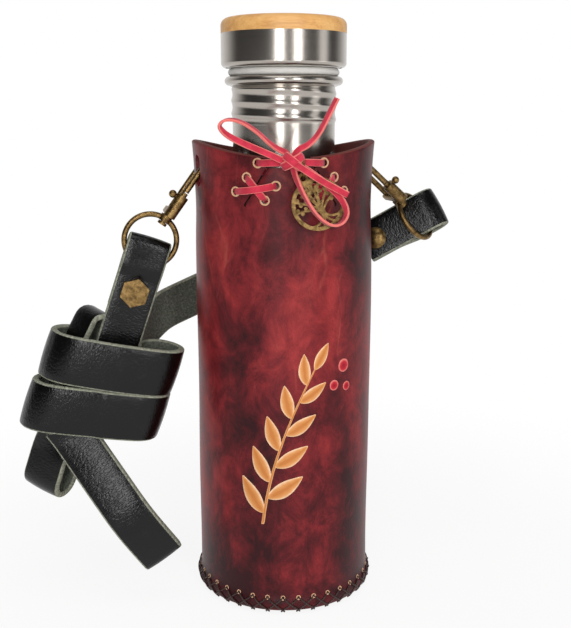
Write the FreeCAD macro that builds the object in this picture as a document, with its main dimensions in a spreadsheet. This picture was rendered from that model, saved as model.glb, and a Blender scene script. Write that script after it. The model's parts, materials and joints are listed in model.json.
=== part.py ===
import FreeCAD, Part
import math
import os
import Sketcher
from FreeCAD import Placement, Rotation, Vector

# A laced leather carrier for a steel water bottle. Millimetres, Z up, front at -Y,
# origin at the centre of the base on the surface that it stands on.

SIZES = {
    # Leather sleeve
    "sleeve_clear": 4.1,
    "leather_thick": 3.0,
    "sleeve_height": 218.0,
    "mouth_drop": 8.6,
    "edge_lift": 1.4,
    "foot_flare": 1.2,
    "foot_flare_height": 5.4,
    "foot_flare_end": 9.4,
    "seam_half": 0.8,
    # Chevron slit and tongue
    "slit_mouth_half": 4.5,
    "slit_foot_outer": 20.5,
    "slit_foot_inner": 17.9,
    "slit_foot_drop": 28.0,
    "slit_foot_rise": 1.2,
    "tongue_top_half": 9.2,
    "tongue_drop": 11.0,
    "lace_hole": 3.6,
    # Lace holes: steps from the outer column's first hole, and the tongue's column
    "hole_outer_x": 14.2,
    "hole_outer_drop": 8.8,
    "hole_tongue_x": 6.6,
    "hole_tongue_drop": 18.4,
    "hole_step_out": 4.7,
    "hole_step_down": 6.2,
    # Slots of the hooks
    "hook_slot_half": 2.9,
    "hook_slot_low_drop": 20.6,
    "hook_slot_high_drop": 6.4,
    "hook_slot_half_step": 6.5,
    "left_hook_shift": -5.2,
    "right_hook_shift": 12.0,
    "overrun": 6.0,
    "least_run": 0.01,
    # Lacing of the base and the back seam
    "stitch_count": 36,
    "stitch_height": 8.1,
    "stitch_foot": 1.2,
    "thread_thick": 1.1,
    "thread_clear": 0.3,
    "seam_stitch_count": 15,
    "seam_stitch_first": 24.0,
    "seam_top_drop": 20.4,
    "seam_stitch_half": 5.0,
    "seam_stitch_rise": 6.2,
    # Flat lace, bow and pendant
    "lace_width": 3.0,
    "lace_thick": 1.4,
    "lace_clear": 0.5,
    "lace_lift": 0.7,
    "lace_cross_rise": 2.6,
    "lace_plug": 1.3,
    "bow_cord": 2.4,
    "knot_half_width": 3.4,
    "knot_drop": 7.8,
    "knot_half_height": 3.2,
    "knot_stand": 2.0,
    "knot_deep": 5.8,
    "knot_round": 2.4,
    "lace_end_stand": 4.4,
    "jump_ring_radius": 4.2,
    "jump_ring_wire": 0.45,
    "jump_ring_side": 4.4,
    "jump_ring_stand": 5.0,
    "jump_ring_drop": 2.9,
    "pendant_radius": 11.3,
    "pendant_rim": 1.7,
    "pendant_thick": 1.4,
    "pendant_eye_radius": 2.3,
    "pendant_eye_hole": 1.2,
    "pendant_angle": 31.0,
    "trunk_half": 1.3,
    "branch_width": 0.9,
    "leaf_radius": 0.85,
    "trunk_share": 0.5,
    "cord_bend_share": 0.45,
    "stitch_lead_share": 0.5,
    # Base cup
    "cup_clear": 0.2,
    "cup_rim_height": 13.0,
    "cup_corner": 3.0,
    "cup_corner_sag": 0.88,
    # Bottle
    "bottle_radius": 34.5,
    "bottle_wall": 0.9,
    "bottle_stand_clear": 0.3,
    "bottle_corner": 5.0,
    "bottle_corner_sag": 1.46,
    "shoulder_height": 178.0,
    "shoulder_round": 1.5,
    "shoulder_rise": 8.0,
    "shoulder_in": 5.7,
    "neck_radius": 23.6,
    "shoulder_length": 30.0,
    "neck_length": 38.2,
    "rim_radius": 27.1,
    "rim_bead": 3.0,
    "rim_bead_half": 1.5,
    # Lid
    "lid_radius": 28.6,
    "gasket_thick": 3.6,
    "lid_band_height": 15.1,
    "lid_steel": 0.8,
    "lid_foot_chamfer": 2.0,
    "lid_foot_round": 0.7,
    "lid_foot_rise": 2.4,
    "wood_height": 6.7,
    "wood_crown": 3.2,
    "wood_edge_sag": 0.94,
    "gasket_radius": 25.4,
    "gasket_inner": 21.0,
    "gasket_round": 1.3,
    "plug_radius": 20.6,
    "plug_length": 14.0,
    "plug_hollow": 16.6,
    "fit_clear": 0.15,
    # Bolt-snap hooks, measured along the shank from the crown inside the wall
    "hook_rod": 2.8,
    "hook_wall_clear": 0.25,
    "crown_drop": 9.0,
    "crown_bend": 3.0,
    "left_hook_angle": 54.0,
    "right_hook_angle": 41.0,
    "nose_tip": 17.5,
    "bolt_gap": 0.4,
    "bolt_radius": 1.5,
    "bolt_end": 22.6,
    "bolt_travel": 4.0,
    "bore_radius": 1.65,
    "bore_end": 29.0,
    "barrel_radius": 2.8,
    "barrel_start": 19.6,
    "yoke_start": 27.6,
    "yoke_end": 31.0,
    "yoke_half_thick": 2.3,
    "yoke_overlap": 2.2,
    "yoke_round": 0.9,
    "knob_place": 21.4,
    "knob_pin_radius": 0.9,
    "knob_reach": 4.4,
    "knob_radius": 1.8,
    "knob_slot_clear": 0.25,
    "spring_clear": 0.15,
    "spring_wall": 0.5,
    # Swivel eye
    "post_radius": 1.2,
    "post_clear": 0.2,
    "post_head_radius": 2.2,
    "post_head": 1.3,
    "collar_gap": 0.3,
    "collar_length": 3.2,
    "collar_radius": 2.8,
    "eye_radius": 12.0,
    "eye_wire_radius": 1.3,
    # Strap
    "strap_width": 20.0,
    "strap_thick": 3.0,
    "fold_clear": 0.4,
    "fold_drop": 2.8,
    "rivet_place": 22.4,
    "layer_clear": 0.2,
    "taper_start": 10.8,
    "taper_end": 15.4,
    "taper_bend": 2.0,
    "turn_slack_share": 0.01,
    "tab_short": 31.0,
    "left_tab_length": 67.6,
    "left_tab_angle": 19.1,
    "right_tab_length": 29.0,
    "right_tab_in_share": 0.84,
    "right_tab_back_share": 0.2,
    "right_tab_down_share": 0.5,
    "right_fold_out_share": 0.5,
    "right_fold_front_share": 0.4,
    "loop_front": 1.2,
    "loop_reach": 12.0,
    "loop_flat_end": 4.0,
    "loop_close": 13.5,
    "rivet_shank": 1.7,
    "rivet_hex": 12.0,
    "rivet_dome": 11.0,
    "rivet_head": 2.2,
    "rivet_cap": 1.8,
    # Hank, in the left tab's frame
    "hank_gap": 0.5,
    "hank_upper_place": 56.5,
    "hank_pitch": 24.0,
    "hank_half_width": 31.5,
    "hank_cross_half": 18.0,
    "hank_entry": 12.0,
    "tail_angle": 52.6,
    "tail_start_down": 89.8,
    "tail_start_side": -13.4,
    "tail_length": 79.0,
    "bight_gap": 0.2,
    "bight_side": -11.0,
    "bight_loop_radius": 7.0,
    "bight_end": 129.0,
    "bight_open_start": 91.0,
    "bight_open_end": 103.0,
    "bight_top": 71.0,
    # Back run of the strap
    "run_clear": 3.3,
    "run_left_reach": 60.0,
    "run_right_reach": 31.0,
    "run_slope_angle": 20.0,
    "run_lean_angle": 26.8,
    "run_drop": 54.0,
}

# Radii, depths and heights that follow from the sizes
PLACES = {
    "sleeve_radius": "bottle_radius + sleeve_clear + leather_thick",
    "knot_back": "sleeve_radius + knot_stand",
    "knot_front": "knot_back + knot_deep",
    "lace_end_front": "sleeve_radius + lace_end_stand",
    "jump_ring_front": "sleeve_radius + jump_ring_stand",
    "slit_foot_height": "sleeve_height - slit_foot_drop",
    "tongue_height": "sleeve_height - tongue_drop",
    "hole_outer_height": "sleeve_height - hole_outer_drop",
    "hole_tongue_height": "sleeve_height - hole_tongue_drop",
    "hook_slot_low": "sleeve_height - hook_slot_low_drop",
    "hook_slot_high": "sleeve_height - hook_slot_high_drop",
    "seam_stitch_pitch": "(sleeve_height - seam_stitch_first - seam_top_drop) / (seam_stitch_count - 1)",
    "knot_height": "sleeve_height - knot_drop",
    "jump_ring_height": "knot_height - jump_ring_drop",
    "crown_height": "sleeve_height - crown_drop",
    "run_height": "crown_height - run_drop",
    "shoulder_half": "shoulder_length / 2",
    "neck_foot_height": "shoulder_height + shoulder_length",
    "rim_height": "neck_foot_height + neck_length",
    "lid_band_foot": "rim_height + gasket_thick",
    "lid_band_top": "lid_band_foot + lid_band_height",
    "wood_top": "lid_band_top + wood_height",
}

doc = FreeCAD.newDocument("bottle_carrier")
sheet = doc.addObject("Spreadsheet::Sheet", "sizes")
for row, (alias, number) in enumerate(SIZES.items(), start=1):
    sheet.set("A%d" % row, alias)
    sheet.set("B%d" % row, str(number))
    sheet.setAlias("B%d" % row, alias)
for row, (alias, text) in enumerate(PLACES.items(), start=len(SIZES) + 1):
    sheet.set("A%d" % row, alias)
    sheet.set("B%d" % row, "=" + text)
    sheet.setAlias("B%d" % row, alias)
doc.recompute()

nodes = []


def size(name):
    """The value of one cell of the sheet."""
    return float(sheet.get(name))


def value(text):
    """The sum of a text such as 'bottle_radius - bottle_wall' in the sheet's values."""
    total = 0.0
    sign = 1.0
    for word in text.split():
        if word in "+-":
            sign = 1.0 if word == "+" else -1.0
        elif word != "0":
            total += sign * size(word)
    return total


def formula(text):
    """The same text as an expression on the sheet's cells."""
    words = [word if word in "+-0" else "sizes." + word for word in text.split()]
    return " ".join(words)


def keep(item, label):
    """Name one finished sub-part."""
    item.Label = label
    nodes.append(item)
    return item


def plane(body, role):
    """One of the body's own origin planes."""
    return next(f for f in body.Origin.OriginFeatures if f.Role == role)


def new_sketch(body, role, name):
    sketch = body.newObject("Sketcher::SketchObject", name)
    sketch.AttachmentSupport = (plane(body, role), [""])
    sketch.MapMode = "FlatFace"
    return sketch


def pin(sketch, geometry, point, x_text, y_text):
    """Tie one point of the sketch to two texts of sizes."""
    for kind, text in (("DistanceX", x_text), ("DistanceY", y_text)):
        index = sketch.addConstraint(Sketcher.Constraint(kind, -1, 1, geometry, point, value(text)))
        sketch.setExpression("Constraints[%d]" % index, formula(text))


def arc_through(start, through, end):
    """The arc of a circle through three points, anticlockwise, and whether it had to be turned round."""
    bow = Part.Circle(start, through, end)
    centre = bow.Center
    clockwise = (through - start).cross(end - through).z < 0
    if clockwise:
        start, end = end, start
    begin = math.atan2(start.y - centre.y, start.x - centre.x)
    finish = math.atan2(end.y - centre.y, end.x - centre.x)
    if finish < begin:
        finish += 2 * math.pi
    circle = Part.Circle(centre, Vector(0, 0, 1), bow.Radius)
    return Part.ArcOfCircle(circle, begin, finish), clockwise


def outline(sketch, path):
    """A closed outline: corners (x, y), or (through_x, through_y, x, y) for an arc to a corner."""
    spots = [Vector(value(p[-2]), value(p[-1]), 0) for p in path]
    count = len(path)
    first = sketch.GeometryCount
    ends = []
    for index in range(count):
        after = (index + 1) % count
        step = path[after]
        turned_round = False
        if len(step) == 4:
            through = Vector(value(step[0]), value(step[1]), 0)
            edge, turned_round = arc_through(spots[index], through, spots[after])
        else:
            edge = Part.LineSegment(spots[index], spots[after])
        sketch.addGeometry(edge, False)
        ends.append((2, 1) if turned_round else (1, 2))
    for index in range(count):
        after = (index + 1) % count
        sketch.addConstraint(Sketcher.Constraint("Coincident", first + index, ends[index][1],
                                                 first + after, ends[after][0]))
        pin(sketch, first + index, ends[index][0], path[index][-2], path[index][-1])
    for index in range(count):
        step = path[(index + 1) % count]
        if len(step) == 4:
            spot = sketch.addGeometry(Part.Point(Vector(value(step[0]), value(step[1]), 0)), True)
            sketch.addConstraint(Sketcher.Constraint("PointOnObject", spot, 1, first + index))
            pin(sketch, spot, 1, step[0], step[1])


def turned(label, path):
    """A body of revolution about Z from a closed outline of (radius, height)."""
    body = doc.addObject("PartDesign::Body", label + "_body")
    sketch = new_sketch(body, "XZ_Plane", label + "_profile")
    outline(sketch, path)
    doc.recompute()
    turn = body.newObject("PartDesign::Revolution", label + "_turn")
    turn.Profile = sketch
    turn.ReferenceAxis = (sketch, ["V_Axis"])
    turn.Angle = 360.0
    doc.recompute()
    return body


def cut(body, sketch, name, **settings):
    """A pocket that must take material away."""
    before = body.Shape.Volume
    pocket = body.newObject("PartDesign::Pocket", name)
    pocket.Profile = sketch
    for key, setting in settings.items():
        setattr(pocket, key, setting)
    doc.recompute()
    if not body.Shape.Volume < before:
        raise RuntimeError(name + " cuts nothing")
    return pocket


# Sleeve wall
# The wall is one rolled sheet: its mouth rises to a horn at each side, its lower edge swells round the base cup,
# and a chevron slit leaves a tongue at the front.
wall = turned("sleeve_wall", [
    ("sleeve_radius - leather_thick", "edge_lift"),
    ("sleeve_radius", "edge_lift"),
    ("sleeve_radius + foot_flare", "foot_flare_height", "sleeve_radius", "foot_flare_end"),
    ("sleeve_radius", "sleeve_height + overrun"),
    ("sleeve_radius - leather_thick", "sleeve_height + overrun"),
])

mouth = new_sketch(wall, "YZ_Plane", "mouth_arch")
outline(mouth, [
    ("0 - sleeve_radius - overrun", "sleeve_height - mouth_drop"),
    ("0", "sleeve_height", "sleeve_radius + overrun", "sleeve_height - mouth_drop"),
    ("sleeve_radius + overrun", "sleeve_height + overrun + overrun"),
    ("0 - sleeve_radius - overrun", "sleeve_height + overrun + overrun"),
])
doc.recompute()
cut(wall, mouth, "mouth_cut", Type="ThroughAll", Midplane=True)

chevron = new_sketch(wall, "XZ_Plane", "chevron_slit")
outline(chevron, [
    ("0 - slit_mouth_half", "sleeve_height"),
    ("0 - slit_foot_outer", "slit_foot_height"),
    ("0 - slit_foot_inner", "slit_foot_height + slit_foot_rise"),
    ("0 - tongue_top_half", "tongue_height"),
    ("tongue_top_half", "tongue_height"),
    ("slit_foot_inner", "slit_foot_height + slit_foot_rise"),
    ("slit_foot_outer", "slit_foot_height"),
    ("slit_mouth_half", "sleeve_height"),
])
doc.recompute()
cut(wall, chevron, "chevron_cut", Type="ThroughAll", Reversed=True)


def hole_spots(side):
    """The lace holes of one side, as texts (x, height): three in the wall, two in the tongue."""
    sign = "0 - " if side < 0 else ""
    link = " - " if side < 0 else " + "
    spots = []
    for column, count in (("outer", 3), ("tongue", 2)):
        for step in range(count):
            out = (link + "hole_step_out") * step
            down = " - hole_step_down" * step
            spots.append((sign + "hole_%s_x" % column + out, "hole_%s_height" % column + down))
    return spots


lace_holes = new_sketch(wall, "XZ_Plane", "lace_holes")
for side in (-1, 1):
    for x_text, height_text in hole_spots(side):
        spot = Vector(value(x_text), value(height_text), 0)
        ring = lace_holes.addGeometry(Part.Circle(spot, Vector(0, 0, 1), size("lace_hole") / 2), False)
        pin(lace_holes, ring, 3, x_text, height_text)
        width = lace_holes.addConstraint(Sketcher.Constraint("Diameter", ring, size("lace_hole")))
        lace_holes.setExpression("Constraints[%d]" % width, "sizes.lace_hole")
doc.recompute()
cut(wall, lace_holes, "lace_hole_cut", Type="ThroughAll", Reversed=True)

# Each hook passes through a pair of upright slots, round the bridge of leather between them.
for side_name, outward in (("left", False), ("right", True)):
    hook_slots = new_sketch(wall, "YZ_Plane", side_name + "_hook_slots")
    for link in ("-", "+"):
        middle = "%s_hook_shift %s hook_slot_half_step" % (side_name, link)
        front = middle + " - hook_slot_half"
        back = middle + " + hook_slot_half"
        low = "hook_slot_low + hook_slot_half"
        high = "hook_slot_high - hook_slot_half"
        outline(hook_slots, [(middle, "hook_slot_high", front, high), (front, low),
                             (middle, "hook_slot_low", back, low), (back, high)])
    doc.recompute()
    cut(wall, hook_slots, side_name + "_hook_slot_cut", Type="ThroughAll", Reversed=outward)

seam = new_sketch(wall, "XZ_Plane", "back_seam")
outline(seam, [
    ("0 - seam_half", "0"),
    ("seam_half", "0"),
    ("seam_half", "sleeve_height"),
    ("0 - seam_half", "sleeve_height"),
])
doc.recompute()
cut(wall, seam, "back_seam_cut", Type="ThroughAll")

keep(wall, "sleeve_wall")

# Base cup: a dish of the same leather, pushed up inside the lower end of the wall
cup_outer = "sleeve_radius - leather_thick - cup_clear"
cup_inner = cup_outer + " - leather_thick"
cup = turned("base_cup", [
    ("0", "0"),
    (cup_outer + " - cup_corner", "0"),
    (cup_outer + " - cup_corner_sag", "cup_corner_sag", cup_outer, "cup_corner"),
    (cup_outer, "cup_rim_height"),
    (cup_inner, "cup_rim_height"),
    (cup_inner, "leather_thick"),
    ("0", "leather_thick"),
])
keep(cup, "base_cup")

# Bottle: a spun single-wall shell
stand = "leather_thick + bottle_stand_clear"
bottle = turned("bottle_shell", [
    ("0", stand),
    ("bottle_radius - bottle_corner", stand),
    ("bottle_radius - bottle_corner_sag", stand + " + bottle_corner_sag",
     "bottle_radius", stand + " + bottle_corner"),
    ("bottle_radius", "shoulder_height"),
    ("bottle_radius - shoulder_round", "shoulder_height + shoulder_rise",
     "bottle_radius - shoulder_in", "shoulder_height + shoulder_half"),
    ("neck_radius + shoulder_round", "neck_foot_height - shoulder_rise", "neck_radius", "neck_foot_height"),
    ("neck_radius", "rim_height - rim_bead"),
    ("rim_radius - rim_bead_half", "rim_height - rim_bead"),
    ("rim_radius", "rim_height - rim_bead_half", "rim_radius - rim_bead_half", "rim_height"),
    ("neck_radius - bottle_wall", "rim_height"),
    ("neck_radius - bottle_wall", "neck_foot_height"),
    ("neck_radius + shoulder_round - bottle_wall", "neck_foot_height - shoulder_rise",
     "bottle_radius - shoulder_in - bottle_wall", "shoulder_height + shoulder_half"),
    ("bottle_radius - shoulder_round - bottle_wall", "shoulder_height + shoulder_rise",
     "bottle_radius - bottle_wall", "shoulder_height"),
    ("bottle_radius - bottle_wall", stand + " + bottle_corner"),
    ("bottle_radius - bottle_wall - bottle_corner_sag", stand + " + bottle_wall + bottle_corner_sag",
     "bottle_radius - bottle_corner", stand + " + bottle_wall"),
    ("0", stand + " + bottle_wall"),
])
keep(bottle, "bottle_shell")

# Lid: gasket on the rim, plug in the mouth, steel cap round the plug, wooden disc on top
gasket_top = "lid_band_foot - fit_clear"
keep(turned("lid_gasket", [
    ("gasket_inner", "rim_height + fit_clear"),
    ("gasket_radius - gasket_round", "rim_height + fit_clear"),
    ("gasket_radius", "rim_height + fit_clear + gasket_round", "gasket_radius - gasket_round", gasket_top),
    ("gasket_inner", gasket_top),
]), "lid_gasket")
plug_head = "lid_radius - lid_steel - fit_clear"
plug_top = "lid_band_top - lid_steel - fit_clear"
keep(turned("lid_plug", [
    ("0", "lid_band_foot"),
    ("plug_hollow", "lid_band_foot"),
    ("plug_hollow", "rim_height - plug_length"),
    ("plug_radius", "rim_height - plug_length"),
    ("plug_radius", "lid_band_foot"),
    (plug_head + " - lid_foot_chamfer", "lid_band_foot"),
    (plug_head, "lid_band_foot + lid_foot_chamfer"),
    (plug_head, plug_top),
    ("0", plug_top),
]), "lid_plug")
keep(turned("lid_cap", [
    ("0", "lid_band_top"),
    ("0", "lid_band_top - lid_steel"),
    ("lid_radius - lid_steel", "lid_band_top - lid_steel"),
    ("lid_radius - lid_steel", "lid_band_foot + lid_foot_chamfer"),
    ("lid_radius - lid_foot_chamfer", "lid_band_foot + fit_clear"),
    ("lid_radius - lid_foot_round", "lid_band_foot + lid_foot_round", "lid_radius", "lid_band_foot + lid_foot_rise"),
    ("lid_radius", "lid_band_top"),
]), "lid_cap")
keep(turned("lid_wood", [
    ("0", "lid_band_top"),
    ("lid_radius", "lid_band_top"),
    ("lid_radius", "wood_top - wood_crown"),
    ("lid_radius - wood_edge_sag", "wood_top - wood_edge_sag", "lid_radius - wood_crown", "wood_top"),
    ("0", "wood_top"),
]), "lid_wood")


# Solids that are bent from bar, wire and strap
def feature(label, shape, placement=None):
    """One sub-part whose shape is worked out here from the sheet's sizes."""
    item = doc.addObject("Part::Feature", label)
    item.Shape = shape
    if placement is not None:
        item.Placement = placement
    return keep(item, label)


def rounded_path(points, radii):
    """Straight runs joined by tangent arcs; radii holds one radius for each inner point."""
    edges = []
    start = points[0]
    for before, corner, after, radius in zip(points, points[1:], points[2:], radii):
        inward = (before - corner).normalize()
        outward = (after - corner).normalize()
        half = inward.getAngle(outward) / 2
        setback = radius / math.tan(half)
        middle = (inward + outward).normalize()
        centre = corner + middle * (radius / math.sin(half))
        arc_start = corner + inward * setback
        arc_end = corner + outward * setback
        if (arc_start - start).Length > size("least_run"):
            edges.append(Part.makeLine(start, arc_start))
        edges.append(Part.Arc(arc_start, centre - middle * radius, arc_end).toShape())
        start = arc_end
    if (points[-1] - start).Length > size("least_run"):
        edges.append(Part.makeLine(start, points[-1]))
    return Part.Wire(edges)


def swept(path, section):
    """A solid with this section all along the path."""
    return path.makePipeShell([section], True, False)


def round_section(spot, along, radius):
    return Part.Wire([Part.makeCircle(radius, spot, along)])


def flat_section(spot, thick_way, width_way, thick, width):
    """A rectangle about a point, square to the path's first run."""
    a = thick_way * (thick / 2)
    b = width_way * (width / 2)
    return Part.makePolygon([spot - a - b, spot + a - b, spot + a + b, spot - a + b, spot - a - b])


def rod(start, end, radius):
    return Part.makeCylinder(radius, (end - start).Length, start, end - start)


def frame_of(origin, x_way, y_way):
    """A placement whose X and Y axes point these two ways."""
    x_way = Vector(x_way).normalize()
    y_way = Vector(y_way).normalize()
    return Placement(origin, Rotation(x_way, y_way, x_way.cross(y_way), "XYZ"))


X = Vector(1, 0, 0)
Y = Vector(0, 1, 0)
Z = Vector(0, 0, 1)

# The crown is a straight rod behind the bridge of leather. Its ends are what comes nearest to the curved wall.
half_step = size("hook_slot_half_step")
rod_radius = size("hook_rod") / 2
wall_inner = size("sleeve_radius") - size("leather_thick")
crown_radius = math.sqrt((wall_inner - size("hook_wall_clear") - rod_radius) ** 2 - half_step ** 2)


def hook_frame(side, name):
    """Origin at the crown, X down the shank, Y along the crown to the back."""
    lean = math.asin(size(name + "_hook_shift") / size("sleeve_radius"))
    out = Vector(side * math.cos(lean), math.sin(lean), 0)
    back = Vector(-side * math.sin(lean), math.cos(lean), 0)
    dip = math.radians(size(name + "_hook_angle"))
    shank = out * math.cos(dip) - Z * math.sin(dip)
    crown = out * crown_radius + Z * size("crown_height")
    return frame_of(crown, shank, back)


def hook_pieces(name, side):
    """Body, bolt, spring and swivel post of one bolt-snap hook; the bolt is on the front arm."""
    place = hook_frame(side, name)
    up = Z * side
    nose = Vector(size("nose_tip"), -half_step, 0)
    yoke_mid = (size("yoke_start") + size("yoke_end")) / 2
    corners = [nose, Vector(0, -half_step, 0), Vector(0, half_step, 0), Vector(yoke_mid, half_step, 0)]
    arm_path = rounded_path(corners, [size("crown_bend")] * 2)
    arm = swept(arm_path, round_section(nose, X, rod_radius))
    barrel = rod(Vector(size("barrel_start"), -half_step, 0), Vector(size("yoke_end"), -half_step, 0),
                 size("barrel_radius"))
    thick = size("yoke_half_thick")
    long = half_step + size("yoke_overlap")
    yoke = Part.makeBox(size("yoke_end") - size("yoke_start"), 2 * long, 2 * thick,
                        Vector(size("yoke_start"), -long, -thick))
    yoke = yoke.makeFillet(size("yoke_round"), yoke.Edges)
    body = arm.fuse([barrel, yoke])
    bore = rod(Vector(size("barrel_start") - size("overrun"), -half_step, 0),
               Vector(size("bore_end"), -half_step, 0), size("bore_radius"))
    bore = bore.cut(rod(Vector(0, -half_step, 0), nose, size("barrel_radius")))
    pin_radius = size("knob_pin_radius") + size("knob_slot_clear")
    slot_start = size("knob_place")
    slot_end = slot_start + size("bolt_travel")
    low = -half_step
    slot = Part.makeBox(slot_end - slot_start, 2 * pin_radius, size("overrun"),
                        Vector(slot_start, low - pin_radius, 0))
    for end in (slot_start, slot_end):
        slot = slot.fuse(Part.makeCylinder(pin_radius, size("overrun"), Vector(end, low, 0), Z))
    if side < 0:
        slot = slot.mirror(Vector(0, 0, 0), Z)
    body = body.cut([bore, slot]).removeSplitter()
    feature(name + "_hook_body", body, place)

    tip = Vector(size("nose_tip") + size("bolt_gap"), low, 0)
    bolt = rod(tip, Vector(size("bolt_end"), low, 0), size("bolt_radius"))
    knob_foot = Vector(slot_start, low, 0)
    knob_head = knob_foot + up * size("knob_reach")
    bolt = bolt.fuse([rod(knob_foot, knob_head, size("knob_pin_radius")),
                      Part.makeSphere(size("knob_radius"), knob_head)]).removeSplitter()
    feature(name + "_bolt", bolt, place)

    spring_start = Vector(size("bolt_end") + size("spring_clear"), low, 0)
    spring_end = Vector(size("bore_end") - size("spring_clear"), low, 0)
    spring_radius = size("bore_radius") - size("spring_clear")
    spring = rod(spring_start, spring_end, spring_radius)
    spring = spring.cut(rod(spring_start, spring_end, spring_radius - size("spring_wall")))
    feature(name + "_bolt_spring", spring, place)

    head_start = X * (size("yoke_end") + 2 * size("collar_gap") + size("collar_length"))
    post = rod(X * size("yoke_end"), head_start, size("post_radius"))
    post = post.fuse(rod(head_start, head_start + X * size("post_head"), size("post_head_radius"))).removeSplitter()
    feature(name + "_swivel_post", post, place)
    return place


def eye_piece(name, shank_place, normal):
    """The swivel eye: a wire ring about the normal, with a collar that turns on the post. Gives the ring's centre."""
    shank = shank_place.Rotation.multVec(X)
    place = frame_of(shank_place.Base, shank, normal)
    collar_start = size("yoke_end") + size("collar_gap")
    collar_mid = collar_start + size("collar_length") / 2
    collar_end = collar_start + size("collar_length")
    centre = X * (collar_mid + size("eye_radius"))
    ring = Part.makeTorus(size("eye_radius"), size("eye_wire_radius"), centre, Y)
    collar = rod(X * collar_start, X * collar_end, size("collar_radius"))
    bore = rod(X * size("yoke_start"), X * (collar_end + size("overrun")), size("post_radius") + size("post_clear"))
    head_room = rod(X * collar_end, X * (collar_end + size("overrun")),
                    size("post_head_radius") + size("post_clear"))
    eye = ring.fuse(collar).cut([bore, head_room]).removeSplitter()
    feature(name + "_eye", eye, place)
    return place.multVec(centre)


# Tabs: the strap passes through the eye, folds round the far half of the ring and is riveted to itself.
fold_radius = size("eye_wire_radius") + size("fold_clear") + size("strap_thick") / 2
layer_half = size("strap_thick") / 2 + size("layer_clear") / 2


def tab_piece(name, place, points, radii):
    """A strap folded round a ring and closed by a rivet hole; X runs down the tab, Y to the back."""
    path = rounded_path(points, radii)
    section = flat_section(points[0], Y, Z, size("strap_thick"), size("strap_width"))
    strap = swept(path, section)
    hole = rod(Vector(size("rivet_place"), -size("overrun"), 0), Vector(size("rivet_place"), size("overrun"), 0),
               size("rivet_shank") + size("post_clear"))
    feature(name + "_tab", strap.cut(hole), place)


def straddle(front_end, back_end):
    """Corners and bends of two layers that straddle the ring's wire and close on the rivet."""
    front, back = -1, 1
    points = [Vector(front_end, front * layer_half, 0)]
    points.append(Vector(size("taper_end"), front * layer_half, 0))
    points.append(Vector(size("taper_start"), front * fold_radius, 0))
    points.append(Vector(-fold_radius, front * fold_radius, 0))
    points.append(Vector(-fold_radius, back * fold_radius, 0))
    points.append(Vector(size("taper_start"), back * fold_radius, 0))
    points.append(Vector(size("taper_end"), back * layer_half, 0))
    points.append(Vector(back_end, back * layer_half, 0))
    bend = size("taper_bend")
    turn = fold_radius * (1 - size("turn_slack_share"))
    return points, [bend, bend, turn, turn, bend, bend]


def slack_loop(end):
    """Corners and bends of a loop whose front layer goes through the ring and whose back layer clears it."""
    deep = size("eye_radius") + size("eye_wire_radius") + size("fold_clear") + size("strap_thick") / 2
    deep = deep - size("loop_front") - layer_half
    points = [Vector(end, -layer_half, 0)]
    points.append(Vector(-size("loop_reach"), -layer_half, 0))
    points.append(Vector(-size("loop_reach"), deep, 0))
    points.append(Vector(size("loop_flat_end"), deep, 0))
    points.append(Vector(size("loop_close"), layer_half, 0))
    points.append(Vector(end, layer_half, 0))
    turn = (deep + layer_half) / 2 * (1 - size("turn_slack_share"))
    return points, [turn, turn, size("taper_bend"), size("taper_bend")]


def hex_head(spot, way, across, thick):
    """A six-sided head standing on a point."""
    corners = []
    for step in range(7):
        angle = math.radians(60 * step)
        corners.append(Vector(math.cos(angle), 0, math.sin(angle)) * (across / math.sqrt(3)) + spot)
    return Part.Face(Part.makePolygon(corners)).extrude(way * thick)


def dome(spot, way, radius, thick):
    """A low round head: the cap of a ball."""
    ball_radius = (radius ** 2 + thick ** 2) / (2 * thick)
    ball = Part.makeSphere(ball_radius, spot + way * (thick - ball_radius))
    return ball.common(rod(spot, spot + way * thick, radius))


def rivet_pieces(name, place, front_is_hex):
    """The rivet through both layers of a tab: a front head with its shank, and a cap at the back."""
    face = layer_half + size("strap_thick") / 2
    front = Vector(size("rivet_place"), -face, 0)
    back = Vector(size("rivet_place"), face, 0)
    if front_is_hex:
        head = hex_head(front, -Y, size("rivet_hex"), size("rivet_head"))
    else:
        head = dome(front, -Y, size("rivet_dome") / 2, size("rivet_head"))
    shank = rod(front, back, size("rivet_shank"))
    feature(name + "_rivet", head.fuse(shank).removeSplitter(), place)
    feature(name + "_rivet_cap", dome(back, Y, size("rivet_dome") / 2, size("rivet_cap")), place)


left_place = hook_pieces("left", -1)
right_place = hook_pieces("right", 1)
left_normal = left_place.Rotation.multVec(Y)
left_centre = eye_piece("left", left_place, left_normal)

# The left tab hangs in the plane of its eye, leaning to the left.
lean = math.radians(size("left_tab_angle"))
level = left_normal.cross(Z).normalize()
left_down = (level * math.sin(lean) - Z * math.cos(lean)).normalize()
if left_down.x > 0:
    left_down = (level * -math.sin(lean) - Z * math.cos(lean)).normalize()
left_tab_place = frame_of(left_centre + left_down * size("fold_drop"), left_down, left_normal)
tab_piece("left", left_tab_place, *straddle(size("left_tab_length"), size("tab_short")))
rivet_pieces("left", left_tab_place, True)

# The right tab runs back past the sleeve's side. Its eye lies in the plane of the shank and the fold.
right_shank = right_place.Rotation.multVec(X)
right_run = Vector(-size("right_tab_in_share"), size("right_tab_back_share"), -size("right_tab_down_share"))
right_run.normalize()
fold_level = Vector(size("right_fold_out_share"), -size("right_fold_front_share"), 0)
fold_way = (fold_level - Z * (fold_level.dot(right_run) / right_run.z)).normalize()
right_back = fold_way.cross(right_run).normalize()
right_centre = eye_piece("right", right_place, right_shank.cross(fold_way).normalize())
right_tab_place = frame_of(right_centre + right_back * (size("loop_front") + layer_half), right_run, right_back)
tab_piece("right", right_tab_place, *slack_loop(size("right_tab_length")))
rivet_pieces("right", right_tab_place, False)


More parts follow.
